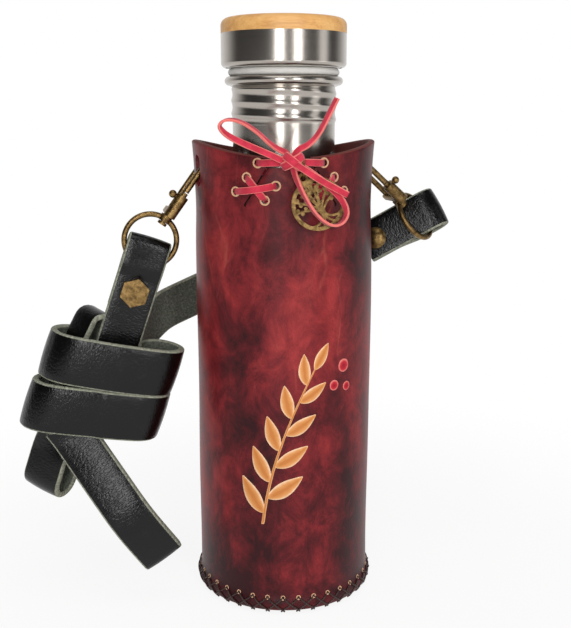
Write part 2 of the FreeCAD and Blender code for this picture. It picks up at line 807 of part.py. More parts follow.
# Hank: the winding holds the bights. Layers from front to back: winding, two of the tail bight,
# two of the side bight, winding, and the strap's entry outside it.
thick = size("strap_thick")
width = size("strap_width")
pitch_layer = thick + size("hank_gap")
side_front = -layer_half
side_back = side_front + 2 * pitch_layer
tail_back = side_front - pitch_layer
tail_front = tail_back - pitch_layer
turn_front = tail_front - pitch_layer
turn_back = side_back + pitch_layer
entry_back = turn_back + pitch_layer
turn_end = size("hank_half_width") - thick / 2


def turn_path(down, start_back, start_side, end_side):
    """One turn of the winding, level with one place down the hank: back, left end, front, right end, back."""
    corners = [(start_back, start_side), (start_back, -turn_end), (turn_front, -turn_end),
               (turn_front, turn_end), (turn_back, turn_end), (turn_back, end_side)]
    points = [Vector(down, back, aside) for back, aside in corners]
    slack = 1 - size("turn_slack_share")
    left_radius = (start_back - turn_front) / 2 * slack
    right_radius = (turn_back - turn_front) / 2 * slack
    return rounded_path(points, [left_radius, left_radius, right_radius, right_radius])


upper = size("hank_upper_place")
lower = upper + size("hank_pitch")
cross = size("hank_cross_half")
upper_path = turn_path(upper, entry_back, size("hank_entry"), cross)
lower_path = turn_path(lower, turn_back, -cross, cross)
upper_turn = swept(upper_path, flat_section(Vector(upper, entry_back, size("hank_entry")), Y, X, thick, width))
lower_turn = swept(lower_path, flat_section(Vector(lower, turn_back, -cross), Y, X, thick, width))
near_face = turn_back - thick / 2
crossing = Part.Face(Part.makePolygon([
    Vector(upper - width / 2, near_face, cross),
    Vector(upper + width / 2, near_face, cross),
    Vector(lower + width / 2, near_face, -cross),
    Vector(lower - width / 2, near_face, -cross),
    Vector(upper - width / 2, near_face, cross),
])).extrude(Y * thick)
winding = upper_turn.fuse([crossing, lower_turn]).removeSplitter()
feature("hank_winding", winding, left_tab_place)


def least_self_gap(wires, spacing):
    """The least clear distance between stretches of one flat band, measured on points of its centre line."""
    places = []
    run = 0.0
    for wire in wires:
        spots = wire.discretize(Distance=spacing)
        for before, spot in zip(spots, spots[1:]):
            run += (spot - before).Length
            places.append((run, spot))
    apart = 2 * width
    gaps = []
    for index, (run, spot) in enumerate(places):
        for other_run, other in places[index:]:
            if other_run - run > apart:
                level = abs(other.x - spot.x) - width
                gaps.append(max(level, math.hypot(other.y - spot.y, other.z - spot.z) - thick))
    return min(gaps)


crossing_line = Part.Wire([Part.makeLine(Vector(upper, turn_back, cross), Vector(lower, turn_back, -cross))])
print("winding least self gap", round(least_self_gap([upper_path, crossing_line, lower_path], thick), 2))

tail_start = Vector(size("tail_start_down"), 0, size("tail_start_side"))
tail_place = left_tab_place * Placement(tail_start, Rotation(Y, -size("tail_angle")))
tail_points = [Vector(0, tail_back, 0), Vector(size("tail_length"), tail_back, 0),
               Vector(size("tail_length"), tail_front, 0), Vector(0, tail_front, 0)]
tail_radius = pitch_layer / 2 * (1 - size("turn_slack_share"))
tail = swept(rounded_path(tail_points, [tail_radius] * 2), flat_section(tail_points[0], Y, Z, thick, width))
feature("hank_tail_bight", tail, tail_place)

loop = size("bight_loop_radius")
bight_low = size("bight_end") - thick / 2
bight_points = [Vector(size("left_tab_length") + size("bight_gap"), side_front, 0), Vector(bight_low, side_front, 0),
                Vector(bight_low, side_front + 2 * loop, 0), Vector(size("bight_open_end"), side_front + 2 * loop, 0),
                Vector(size("bight_open_start"), side_back, 0), Vector(size("bight_top"), side_back, 0)]
loop_radius = loop * (1 - size("turn_slack_share"))
bight_path = rounded_path(bight_points, [loop_radius, loop_radius, size("taper_bend"), size("taper_bend")])
bight = swept(bight_path, flat_section(bight_points[0], Y, Z, thick, width))
feature("hank_side_bight", bight, left_tab_place * Placement(Z * size("bight_side"), Rotation()))

# Back run: the strap lies round the back of the sleeve, higher at the right than at the left.
slope = math.radians(size("run_slope_angle"))
run_radius = size("sleeve_radius") + size("run_clear") + thick / 2
left_reach = size("run_left_reach")
right_reach = size("run_right_reach")
lean_back = math.radians(size("run_lean_angle"))
apex = run_radius / math.cos(lean_back)
fall_share = math.tan(lean_back)
run_points = [Vector(-left_reach, apex - left_reach * fall_share, 0), Vector(0, apex, 0),
              Vector(right_reach, apex - right_reach * fall_share, 0)]
tall = 2 * (left_reach * math.tan(slope) + width)
run_path = rounded_path(run_points, [run_radius])
along = (run_points[1] - run_points[0]).normalize()
run = swept(run_path, flat_section(run_points[0], along.cross(Z), Z, thick, tall))
slab = Part.makeBox(2 * tall, 2 * apex, width, Vector(-tall, 0, -width / 2))
slab.rotate(Vector(0, 0, 0), Y, -size("run_slope_angle"))
feature("strap_back_run", run.common(slab), Placement(Z * size("run_height"), Rotation()))


# Lacing thread: straight stitches in two layers that cross
def bar(start, end, outward, thick, width):
    """A straight flat bar; its thickness points outward."""
    along = (end - start).normalize()
    aside = along.cross(outward).normalize()
    section = flat_section(start, aside.cross(along), aside, thick, width)
    return Part.Face(section).extrude(end - start)


def around(radius, azimuth, height):
    """A point at an angle from the front, positive to the right."""
    return Vector(radius * math.sin(azimuth), -radius * math.cos(azimuth), height)


thread = size("thread_thick")
first_layer = size("sleeve_radius") + size("thread_clear") + thread / 2
second_layer = first_layer + thread + size("thread_clear")
base_stitches = []
step = 2 * math.pi / size("stitch_count")
for index in range(int(size("stitch_count"))):
    for lay, way in ((first_layer, 1), (second_layer, -1)):
        radius = lay + size("foot_flare")
        top = around(radius, (index + size("stitch_lead_share")) * step, size("stitch_height"))
        foot = around(radius, (index + size("stitch_lead_share") + way) * step, size("stitch_foot"))
        base_stitches.append(bar(top, foot, Vector(top.x + foot.x, top.y + foot.y, 0), thread, thread))
feature("base_lacing", Part.makeCompound(base_stitches))

seam_stitches = []
for index in range(int(size("seam_stitch_count"))):
    low = size("seam_stitch_first") + index * size("seam_stitch_pitch")
    high = low + size("seam_stitch_rise")
    for lay, way in ((first_layer, 1), (second_layer, -1)):
        side = way * size("seam_stitch_half")
        seam_stitches.append(bar(Vector(-side, lay, low), Vector(side, lay, high), Y, thread, thread))
feature("back_seam_lacing", Part.makeCompound(seam_stitches))

# Flat lace: out of the knot, in at the top hole, and on across the slit, in the order of the holes
lace_thick = size("lace_thick")
outer_lay = size("sleeve_radius") + size("lace_lift") + lace_thick / 2
inner_lay = wall_inner - size("lace_clear") - lace_thick / 2


def on_lay(spot, lay):
    """The place of one hole on a layer at some distance from the sleeve's axis."""
    return Vector(spot[0], -math.sqrt(lay ** 2 - spot[0] ** 2), spot[1])


def lace_piece(name, side):
    spots = [(value(x), value(height)) for x, height in hole_spots(side)]
    top, second, third, tongue_top, tongue_low = spots
    over = outer_lay + size("lace_cross_rise")
    knot_end = Vector(side * (size("knot_half_width") + size("lace_clear")), -size("lace_end_front"), top[1])
    across = Vector(0, -inner_lay, tongue_low[1])
    runs = [(on_lay(top, outer_lay), knot_end), (on_lay(top, inner_lay), on_lay(tongue_top, inner_lay)),
            (on_lay(tongue_top, over), on_lay(third, over)), (on_lay(third, inner_lay), on_lay(second, inner_lay)),
            (on_lay(second, outer_lay), on_lay(tongue_low, outer_lay)),
            (on_lay(tongue_low, inner_lay), across + X * (side * size("fit_clear")))]
    pieces = []
    for start, end in runs:
        middle = start + end
        pieces.append(bar(start, end, Vector(middle.x, middle.y, 0), lace_thick, size("lace_width")))
    for spot, lay in ((top, outer_lay), (tongue_top, over), (third, over), (second, outer_lay),
                      (tongue_low, outer_lay)):
        pieces.append(rod(on_lay(spot, inner_lay), on_lay(spot, lay), size("lace_plug")))
    feature(name, pieces[0].fuse(pieces[1:]).removeSplitter())


lace_piece("lace_left", -1)
lace_piece("lace_right", 1)

# Bow: a knot in the notch, two loops and two tails
knot = Part.makeBox(2 * size("knot_half_width"), size("knot_deep"), 2 * size("knot_half_height"),
                    Vector(-size("knot_half_width"), -size("knot_front"),
                           size("knot_height") - size("knot_half_height")))
feature("bow_knot", knot.makeFillet(size("knot_round"), knot.Edges))


def cord(label, route):
    """A round cord whose arcs are as large as its runs allow; its route is from the sleeve's front and the knot."""
    front = Vector(0, -size("sleeve_radius"), size("knot_height"))
    points = [front + Vector(*spot) for spot in route]
    radii = []
    for before, corner, after in zip(points, points[1:], points[2:]):
        shorter = min((corner - before).Length, (after - corner).Length)
        turn = (corner - before).getAngle(after - corner)
        radii.append(size("cord_bend_share") * shorter / math.tan(turn / 2))
    path = rounded_path(points, radii)
    solid = swept(path, round_section(points[0], points[1] - points[0], size("bow_cord") / 2))
    print(label, "least radius", round(min(radii), 1), "length", round(path.Length, 1))
    feature(label, solid)


cord("bow_left_loop", [(-3.9, -6.6, 0.2), (-8.0, -7.0, 2.2), (-13.7, -7.0, 4.6), (-21.9, -6.4, 8.0),
                       (-28.0, -5.2, 11.2), (-30.8, -4.0, 14.8), (-27.6, -3.6, 17.4), (-21.6, -3.6, 16.6),
                       (-14.8, -3.8, 12.4), (-9.6, -4.0, 7.4), (-5.6, -4.6, 4.8), (-2.4, -5.2, 3.6)])
cord("bow_right_loop", [(4.1, -6.6, -2.2), (8.6, -9.0, -5.2), (15.0, -10.0, -10.0), (20.6, -10.0, -15.6),
                        (23.0, -9.6, -21.4), (20.8, -9.2, -25.8), (16.2, -9.0, -27.0), (10.2, -8.8, -23.0),
                        (5.4, -8.8, -15.6), (2.0, -8.6, -8.8), (0.4, -6.6, -3.8)])
cord("bow_long_tail", [(1.6, -4.6, 4.6), (6.4, -5.0, 6.4), (10.6, -5.2, 10.6), (14.2, -5.0, 17.2),
                       (18.5, -4.8, 25.8)])
cord("bow_short_tail", [(0.8, -9.2, -0.8), (5.0, -11.8, -3.6), (11.0, -12.8, -7.4), (17.4, -12.8, -10.8),
                        (22.4, -12.2, -13.4)])

# Pendant: a pierced disc that hangs from a ring round the lace
hang = Vector(size("jump_ring_side"), -size("jump_ring_front"), size("jump_ring_height"))
feature("pendant_ring", Part.makeTorus(size("jump_ring_radius"), size("jump_ring_wire"), hang, X))
disc_radius = size("pendant_radius")
half_thick = size("pendant_thick") / 2
inner_disc = disc_radius - size("pendant_rim")


def flat_disc(radius, spot=Vector(0, 0, 0)):
    return Part.makeCylinder(radius, 2 * half_thick, spot - Y * half_thick, Y)


def limb(start_shares, through_shares, end_shares):
    """One branch or root: a flat bar along an arc through three places in shares of the disc's radius."""
    spots = [Vector(x, 0, z) * disc_radius for x, z in (start_shares, through_shares, end_shares)]
    bend = Part.Circle(*spots)
    sides = []
    for way in (1, -1):
        share = (bend.Radius + way * size("branch_width") / 2) / bend.Radius
        sides.append([bend.Center + (spot - bend.Center) * share - Y * half_thick for spot in spots])
    outer, inner = sides
    edges = [Part.Arc(*outer).toShape(), Part.makeLine(outer[2], inner[2]),
             Part.Arc(*inner[::-1]).toShape(), Part.makeLine(inner[0], outer[0])]
    return Part.Face(Part.Wire(edges)).extrude(Y * 2 * half_thick)


# The right half of a small tree, mirrored for the left half: branches with leaves beside them, then roots
BRANCH_SHARES = [((0, -0.1), (0.1, 0.45), (0.08, 0.92)), ((0, -0.15), (0.22, 0.4), (0.44, 0.8)),
                 ((0, -0.25), (0.36, 0.18), (0.76, 0.52)), ((0, -0.35), (0.45, -0.02), (0.92, 0.1))]
ROOT_SHARES = [((0.04, -0.3), (0.2, -0.6), (0.66, -0.62)), ((0.02, -0.4), (0.1, -0.7), (0.26, -0.88))]
LEAF_SHARES = (0.6, 0.74, 0.88)
trunk_long = disc_radius * size("trunk_share")
pieces = [Part.makeBox(2 * size("trunk_half"), 2 * half_thick, trunk_long,
                       Vector(-size("trunk_half"), -half_thick, -trunk_long))]
for side in (1, -1):
    for spots in BRANCH_SHARES + ROOT_SHARES:
        pieces.append(limb(*[(side * x, z) for x, z in spots]))
    for spots in BRANCH_SHARES:
        line = Part.Arc(*[Vector(side * x, 0, z) * disc_radius for x, z in spots]).toShape()
        for index, share in enumerate(LEAF_SHARES):
            at = line.FirstParameter + share * (line.LastParameter - line.FirstParameter)
            aside = line.tangentAt(at).cross(Y) * (1 if index % 2 else -1)
            pieces.append(flat_disc(size("leaf_radius"), line.valueAt(at) + aside * size("leaf_radius")))
eye_up = disc_radius + size("pendant_eye_hole")
rim = flat_disc(disc_radius).cut(flat_disc(inner_disc))
disc = rim.fuse(pieces + [flat_disc(size("pendant_eye_radius"), Z * eye_up)])
disc = disc.cut(flat_disc(size("pendant_eye_hole"), Z * eye_up)).removeSplitter()
tilt = Rotation(Y, -size("pendant_angle"))
hole = hang - Z * size("jump_ring_radius")
feature("pendant_disc", disc, Placement(hole - tilt.multVec(Z * eye_up), tilt))


# Check every object, then write one file for each sub-part
doc.recompute()
for item in doc.Objects:
    if "Invalid" in item.State or "Error" in item.State:
        raise RuntimeError("failed: " + item.Name)
for item in nodes:
    if item.Shape.isNull() or not item.Shape.isValid():
        raise RuntimeError("bad shape: " + item.Label)
os.makedirs("parts", exist_ok=True)
for item in nodes:
    item.Shape.exportStep("parts/%s.step" % item.Label)
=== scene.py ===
# %% [markdown]
# # A laced leather bottle carrier
# A carrier like this is a rolled leather sleeve with a base cup, laced at the front, and a strap that hangs
# in a hank from two brass hooks. The CAD frame already holds every rigid piece in its place, so this lesson
# loads that frame, dresses it with finishes, and replaces the soft pieces by surfaces computed with numpy.

# %% Load the frame
import json
import math
import bmesh
import bpy
import numpy as np
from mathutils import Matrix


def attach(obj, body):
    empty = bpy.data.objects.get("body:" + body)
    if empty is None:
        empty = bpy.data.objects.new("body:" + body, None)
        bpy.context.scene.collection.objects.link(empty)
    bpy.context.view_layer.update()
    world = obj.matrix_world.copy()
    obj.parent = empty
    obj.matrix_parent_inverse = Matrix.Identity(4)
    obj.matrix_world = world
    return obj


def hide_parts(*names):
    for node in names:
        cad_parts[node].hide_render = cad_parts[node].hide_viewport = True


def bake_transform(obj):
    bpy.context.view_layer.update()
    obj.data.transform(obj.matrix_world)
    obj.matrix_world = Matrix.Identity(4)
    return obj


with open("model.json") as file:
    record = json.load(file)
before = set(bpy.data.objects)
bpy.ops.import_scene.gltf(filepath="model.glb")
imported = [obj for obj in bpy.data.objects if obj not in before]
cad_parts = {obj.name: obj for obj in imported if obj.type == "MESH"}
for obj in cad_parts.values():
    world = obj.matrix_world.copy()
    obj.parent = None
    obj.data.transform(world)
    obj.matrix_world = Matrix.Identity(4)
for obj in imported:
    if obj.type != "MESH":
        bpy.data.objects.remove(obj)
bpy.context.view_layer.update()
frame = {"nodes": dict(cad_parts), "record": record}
MM = 0.001


def add_object(name, data):
    """An object that shows some data, linked to the scene."""
    made = bpy.data.objects.new(name, data)
    bpy.context.scene.collection.objects.link(made)
    return made


# %% [markdown]
# ## Camera
# The photograph was fitted before the modelling: the eye stands 440 mm in front of the sleeve's axis,
# 4.5 degrees to the left, 230 mm above the table, and looks down by 12.2 degrees. A camera with the same
# place and the same field of view gives the photograph's outlines without any fitting by eye.

# %% Camera
EYE, TURN, DIP = (-0.0345, -0.4389, 0.2302), 4.5, 12.2
FOCAL_PIXELS, SHIFT_PIXELS, PHOTO_PIXELS_HIGH, SENSOR_HIGH = 932.4, 1.65, 628, 36.0

lens = bpy.data.cameras.new("photo_camera")
lens.sensor_fit = "VERTICAL"
lens.sensor_height = SENSOR_HIGH
lens.lens = FOCAL_PIXELS / PHOTO_PIXELS_HIGH * SENSOR_HIGH
lens.shift_x = SHIFT_PIXELS / PHOTO_PIXELS_HIGH
camera = add_object("photo_camera", lens)
camera.location = EYE
camera.rotation_euler = (math.radians(90.0 - DIP), 0.0, -math.radians(TURN))
bpy.context.scene.camera = camera
print("lens in mm:", round(lens.lens, 2))

# %% [markdown]
# ## Shader expressions
# Finishes are easier to read as formulas than as lists of links. `Value` wraps one socket, and its operators
# add Math nodes, so `1 - mask` is a socket too. `Nodes.add` makes any other node: its settings come first,
# then the values or links of its inputs. Colours are written as a display shows them, from 0 to 255.

# %% Shader expressions
def linear(red, green, blue):
    """A display colour of 0 to 255 as the linear values that shaders use, with an alpha of 1."""
    share = np.array([red, green, blue]) / 255.0
    curve = np.where(share <= 0.04045, share / 12.92, ((share + 0.055) / 1.055) ** 2.4)
    return (*(float(v) for v in curve), 1.0)


def math_method(operation, swapped=False):
    """A method that adds one Math node; swapped puts the other value first."""
    def method(self, other=0.0):
        pair = (other, self) if swapped else (self, other)
        return self.nodes.add("ShaderNodeMath", {"operation": operation}, dict(enumerate(pair)))

    return method


class Value:
    """One output socket in a node tree; arithmetic on it adds Math nodes."""

    __add__, __radd__ = math_method("ADD"), math_method("ADD", True)
    __sub__, __rsub__ = math_method("SUBTRACT"), math_method("SUBTRACT", True)
    __mul__, __rmul__ = math_method("MULTIPLY"), math_method("MULTIPLY", True)
    most, size_only, sine = math_method("MAXIMUM"), math_method("ABSOLUTE"), math_method("SINE")

    def __init__(self, nodes, socket):
        self.nodes = nodes
        self.socket = socket

    def step(self, low, high, bottom=0.0, top=1.0):
        """A smooth rise from bottom at low to top at high."""
        ends = {"Value": self, "From Min": low, "From Max": high, "To Min": bottom, "To Max": top}
        return self.nodes.add("ShaderNodeMapRange", {"interpolation_type": "SMOOTHSTEP"}, ends)


class Nodes:
    """A node tree, to which nodes are added with their settings and inputs."""

    def __init__(self, tree):
        self.tree = tree

    def feed(self, socket, entry):
        if isinstance(entry, Value):
            self.tree.links.new(entry.socket, socket)
        else:
            socket.default_value = linear(*entry) if socket.type == "RGBA" else entry

    def add(self, kind, settings=None, inputs=None, output=0):
        made = self.tree.nodes.new(kind)
        for key, setting in (settings or {}).items():
            setattr(made, key, setting)
        for key, entry in (inputs or {}).items():
            self.feed(made.inputs[key], entry)
        return Value(self, made.outputs[output])

    def split(self, vector):
        parts = self.add("ShaderNodeSeparateXYZ", None, {0: vector}).socket.node
        return [Value(self, socket) for socket in parts.outputs]


class Finish(Nodes):
    """One material, with the patterns that finishes are made of."""

    def __init__(self, name):
        self.material = bpy.data.materials.new(name)
        self.material.use_nodes = True
        super().__init__(self.material.node_tree)
        self.shader = self.tree.nodes["Principled BSDF"]

    def place(self):
        """Object coordinates in metres, which are the CAD frame's own."""
        return self.add("ShaderNodeTexCoord", output="Object")

    def uv(self):
        return self.add("ShaderNodeTexCoord", output="UV")

    def mark(self):
        """The mark that each point of a mesh carries, such as its side of the leather."""
        return self.add("ShaderNodeAttribute", {"attribute_name": "side_mark"}, output="Fac")

    def vector(self, operation, first, second):
        return self.add("ShaderNodeVectorMath", {"operation": operation}, {0: first, 1: second})

    def scaled(self, vector, factors):
        return self.vector("MULTIPLY", vector, factors)

    def noise(self, vector, scale, detail=4.0, rough=0.55, twist=0.0, output=0):
        return self.add("ShaderNodeTexNoise", None, {"Vector": vector, "Scale": scale, "Detail": detail,
                                                     "Roughness": rough, "Distortion": twist}, output)

    def cells(self, vector, scale, feature="F1"):
        return self.add("ShaderNodeTexVoronoi", {"feature": feature}, {"Vector": vector, "Scale": scale})

    def mix(self, factor, first, second):
        return self.add("ShaderNodeMix", {"data_type": "RGBA"}, {0: factor, 6: first, 7: second}, 2)

    def ramp(self, factor, stops):
        colours = self.add("ShaderNodeValToRGB", None, {0: factor})
        elements = colours.socket.node.color_ramp.elements
        while len(elements) < len(stops):
            elements.new(0.5)
        for element, (place, colour) in zip(elements, stops):
            element.position = place
            element.color = linear(*colour)
        return colours

    def bump(self, height, strength, distance):
        entries = {"Height": height, "Strength": strength, "Distance": distance}
        return self.add("ShaderNodeBump", None, entries)

    def shade(self, **entries):
        """Set or link sockets of the shader; an underscore in a name stands for a space."""
        for key, entry in entries.items():
            self.feed(self.shader.inputs[key.replace("_", " ")], entry)
        return self.material


# %% [markdown]
# ## Leather of the sleeve
# Vegetable-tanned leather that is dyed by hand takes the colour unevenly: broad darker and redder clouds,
# fine pores, and rubbed streaks where the wax was burnished. Noise at three scales gives the clouds, their
# patches and the streaks, and small cells give the pores. Raw edges and the inside are duller, and a mark on
# the mesh says where: 0 on the grain, 1 on raw leather and 2 on the pale lips of the holes.

# %% Sleeve leather
DYE_START = (0.52, 0.11, 0.37)


def sleeve_leather(name):
    finish = Finish(name)
    place = finish.vector("ADD", finish.place(), DYE_START)
    upright = finish.scaled(place, (1.0, 1.0, 0.45))
    clouds = finish.noise(upright, 18.0, 4.0, 0.55, 0.2)
    patches = finish.noise(finish.scaled(place, (1.0, 1.0, 0.75)), 70.0, 8.0, 0.74, 0.4)
    rubs = finish.noise(finish.scaled(place, (1.0, 1.0, 0.18)), 150.0, 4.0, 0.6)
    height = finish.split(finish.place())[2]
    # The leather is made darker towards the mouth and towards the foot, by height alone.
    ends = height.step(0.12, 0.21) * 0.06 + (1.0 - height.step(0.0, 0.07)) * 0.04
    dye = finish.ramp(clouds * 0.55 + patches * 0.45 - ends, [
        (0.39, (50, 15, 19)), (0.46, (88, 24, 29)), (0.52, (122, 35, 39)), (0.60, (156, 50, 51))])
    streak = (rubs.step(0.58, 0.76) * patches.step(0.48, 0.66)) * 0.45
    dye = finish.mix(streak, dye, (158, 66, 60))
    push = finish.scaled(finish.noise(upright, 40.0, 4.0, 0.5, output="Color"), (0.012, 0.012, 0.012))
    veins = finish.cells(finish.vector("ADD", upright, push), 55.0, "DISTANCE_TO_EDGE")
    vein = (1.0 - veins.step(0.0, 0.035)) * clouds.step(0.48, 0.62) * rubs.step(0.4, 0.7)
    dye = finish.mix(vein * 0.5, dye, (168, 82, 70))
    pores = finish.cells(place, 1500.0)
    dye = finish.mix(pores.step(0.1, 0.32) * -0.35 + 0.35, dye, (34, 12, 14))
    mark = finish.mark()
    raw = mark.step(0.2, 0.9)
    colour = finish.mix(raw, dye, (100, 50, 45))
    colour = finish.mix(mark.step(1.2, 1.8) * 0.9, colour, (212, 170, 134))
    grain = finish.noise(place, 900.0, 3.0, 0.6) * 0.5 + pores.step(0.05, 0.4) * 0.35 + patches * 0.6
    return finish.shade(Base_Color=colour, Roughness=0.26 + patches * 0.26 + raw * 0.25,
                        Normal=finish.bump(grain, 0.2, 0.0004), Specular_IOR_Level=0.16)


# %% [markdown]
# ## Black strap leather
# The strap is finished only on its grain side, which is black, glossy and finely creased. Its flesh side and
# its cut edges are raw and grey. The strips carry a mark of 1 on the grain side, -1 on the flesh side and
# 0 on the edges, so one finish serves all three.

# %% Strap leather
def strap_leather(name):
    finish = Finish(name)
    mark = finish.mark()
    uv = finish.uv()
    grain_side = mark.step(0.3, 0.9)
    flesh_side = (0.0 - mark).step(0.3, 0.9)
    fibres = finish.noise(uv, 900.0, 6.0, 0.7)
    folds = finish.noise(finish.scaled(uv, (1.0, 0.16, 1.0)), 560.0, 4.0, 0.6, 0.3)
    worn = finish.noise(uv, 120.0, 5.0, 0.65, 0.8)
    pebble = finish.cells(finish.scaled(uv, (1.0, 0.45, 1.0)), 900.0, "DISTANCE_TO_EDGE").step(0.0, 0.22)
    black = finish.mix(worn.step(0.55, 0.8) * 0.5, (6, 6, 6), (20, 19, 19))
    raw = finish.mix(fibres.step(0.35, 0.7), (66, 70, 63), (112, 115, 104))
    cut = finish.mix(fibres.step(0.35, 0.7), (108, 111, 98), (166, 166, 148))
    colour = finish.mix(grain_side, finish.mix(flesh_side, cut, raw), black)
    height = pebble * grain_side * 0.5 + fibres * (1.0 - grain_side) * 1.2 + worn * grain_side * 0.7
    height = height + folds * worn.step(0.42, 0.62) * grain_side * 0.4
    return finish.shade(Base_Color=colour, Roughness=0.86 - grain_side * (0.72 - worn * 0.2),
                        Normal=finish.bump(height, 0.25, 0.0003), Specular_IOR_Level=0.3)


# %% [markdown]
# ## Suede lace and waxed thread
# The lace is thin red suede whose cut edges are paler, and the thread is dark waxed linen, twisted. Both
# follow their own UV map: along the lace for the nap, round the thread for its twist.

# %% Lace and thread
def suede_lace(name):
    finish = Finish(name)
    uv = finish.uv()
    nap = finish.noise(uv, 1600.0, 5.0, 0.7)
    shade = finish.noise(uv, 160.0, 4.0, 0.6)
    edge = 1.0 - finish.mark().size_only()
    face = finish.mix(shade.step(0.35, 0.7), (178, 24, 50), (212, 42, 72))
    colour = finish.mix(edge.step(0.1, 0.9) * 0.75, face, (236, 128, 116))
    colour = finish.mix(nap.step(0.5, 0.8) * 0.3, colour, (160, 24, 44))
    return finish.shade(Base_Color=colour, Roughness=0.72 + nap * 0.2, Normal=finish.bump(nap, 0.4, 0.0002),
                        Sheen_Weight=0.25)


def waxed_thread(name):
    finish = Finish(name)
    along, round_it, _ = finish.split(finish.uv())
    twist = (along * 5200.0 + round_it * 3600.0).sine()
    fuzz = finish.noise(finish.place(), 2600.0, 3.0, 0.6)
    colour = finish.mix(twist * 0.5 + 0.5, (36, 20, 18), (66, 40, 34))
    return finish.shade(Base_Color=colour, Roughness=0.5 + fuzz * 0.2,
                        Normal=finish.bump(twist * 0.5 + fuzz, 0.5, 0.0002))


# %% [markdown]
# ## Metals, wood, rubber and plastic
# The hooks are brass with a brown patina that lies in uneven patches. The bottle is steel brushed round its
# axis, so its scratches are long in angle and short in height. The lid's disc is bamboo, pressed from strips
# with straight fibres.

# %% Metals
def antique_brass(name):
    finish = Finish(name)
    place = finish.place()
    patina = finish.noise(place, 420.0, 5.0, 0.65, 0.4)
    fine = finish.noise(place, 2600.0, 4.0, 0.6)
    colour = finish.ramp(patina, [(0.34, (84, 66, 42)), (0.48, (118, 94, 58)), (0.62, (150, 122, 78))])
    return finish.shade(Base_Color=colour, Metallic=1.0, Roughness=0.28 + patina * 0.24,
                        Normal=finish.bump(patina * 0.7 + fine * 0.3, 0.12, 0.0003))


def brushed_steel(name, level, rough):
    """Steel whose fine lines run round the Z axis: noise that is stretched by its height only."""
    finish = Finish(name)
    lines = finish.noise(finish.scaled(finish.place(), (12.0, 12.0, 1400.0)), 1.0, 4.0, 0.7)
    smears = finish.noise(finish.place(), 45.0, 3.0, 0.5)
    colour = finish.mix(lines * 0.6 + smears * 0.4, (level - 18, level - 25, level - 33),
                        (level + 8, level + 2, level - 5))
    return finish.shade(Base_Color=colour, Metallic=1.0, Roughness=rough + lines * 0.06 + smears * 0.04,
                        Normal=finish.bump(lines, 0.04, 0.0002))


# %% Wood, rubber and plastic
def bamboo(name):
    finish = Finish(name)
    place = finish.place()
    strips = finish.noise(finish.scaled(place, (14.0, 260.0, 260.0)), 1.0, 4.0, 0.6)
    fibre = finish.noise(finish.scaled(place, (60.0, 1500.0, 1500.0)), 1.0, 4.0, 0.6)
    colour = finish.ramp(strips * 0.65 + fibre * 0.35, [
        (0.32, (190, 132, 70)), (0.5, (216, 162, 94)), (0.68, (230, 184, 118))])
    return finish.shade(Base_Color=colour, Roughness=0.42 + fibre * 0.12, Coat_Weight=0.1, Coat_Roughness=0.3,
                        Normal=finish.bump(fibre, 0.12, 0.0002))


def moulded(name, dark, pale, rough, coat):
    """Rubber or plastic: a slight mottle in its colour and a fine orange-peel surface."""
    finish = Finish(name)
    mottle = finish.noise(finish.place(), 300.0, 4.0, 0.6)
    peel = finish.noise(finish.place(), 1800.0, 2.0, 0.5)
    return finish.shade(Base_Color=finish.mix(mottle, dark, pale), Roughness=rough + peel * 0.1,
                        Normal=finish.bump(peel, 0.1, 0.0002), Coat_Weight=coat)


# %% [markdown]
# ## CAD nodes that keep their shape
# Hooks, rings, rivets, lid, pendant and base cup already have their true shapes in the CAD solids. They only
# get their finish, by the material slot that the record gives each node.

# %% Dress the CAD nodes
RECIPES = {
    "sleeve_leather": (sleeve_leather,), "strap_leather": (strap_leather,), "suede_lace": (suede_lace,),
    "waxed_thread": (waxed_thread,), "antique_brass": (antique_brass,), "bamboo": (bamboo,),
    "brushed_steel": (brushed_steel, 180, 0.18), "spring_steel": (brushed_steel, 170, 0.3),
    "gasket_rubber": (moulded, (196, 193, 188), (216, 213, 208), 0.5, 0.05),
    "plug_plastic": (moulded, (206, 203, 197), (222, 219, 213), 0.4, 0.1),
}
FINISHES = {slot: recipe(slot, *values) for slot, (recipe, *values) in RECIPES.items()}
for part in frame["record"]["subparts"]:
    node_mesh = frame["nodes"][part["node"]].data
    node_mesh.materials.clear()
    node_mesh.materials.append(FINISHES[part["material_slot"]])

# %% [markdown]
# ## Surfaces from arrays
# Every new piece is a grid of points: one direction follows a path or an angle, the other a profile.
# Working on whole arrays keeps the code short, and one function turns any grid into a mesh with its UV map.
# A grid that closes on itself only repeats its first row in the index array, so no seam is left open.

# %% Surfaces from arrays
UP = np.array([0.0, 0.0, 1.0])


def joined(*values):
    """Coordinates spread to one shape and joined along a new last axis."""
    return np.stack(np.broadcast_arrays(*values), axis=-1)


def circle(steps):
    """The angles of one whole turn, in even steps."""
    return np.linspace(0.0, 2 * np.pi, steps, endpoint=False)


def grid_faces(rows, columns, close_rows=False, close_columns=False):
    """Corner indices of each quad: (i, j), (i, j+1), (i+1, j+1), (i+1, j), wrapped round where it closes."""
    i = np.arange(rows if close_rows else rows - 1)[:, None]
    j = np.arange(columns if close_columns else columns - 1)[None, :]
    next_i = (i + 1) % rows
    next_j = (j + 1) % columns
    corners = (i * columns + j, i * columns + next_j, next_i * columns + next_j, next_i * columns + j)
    return joined(*corners).reshape(-1, 4)


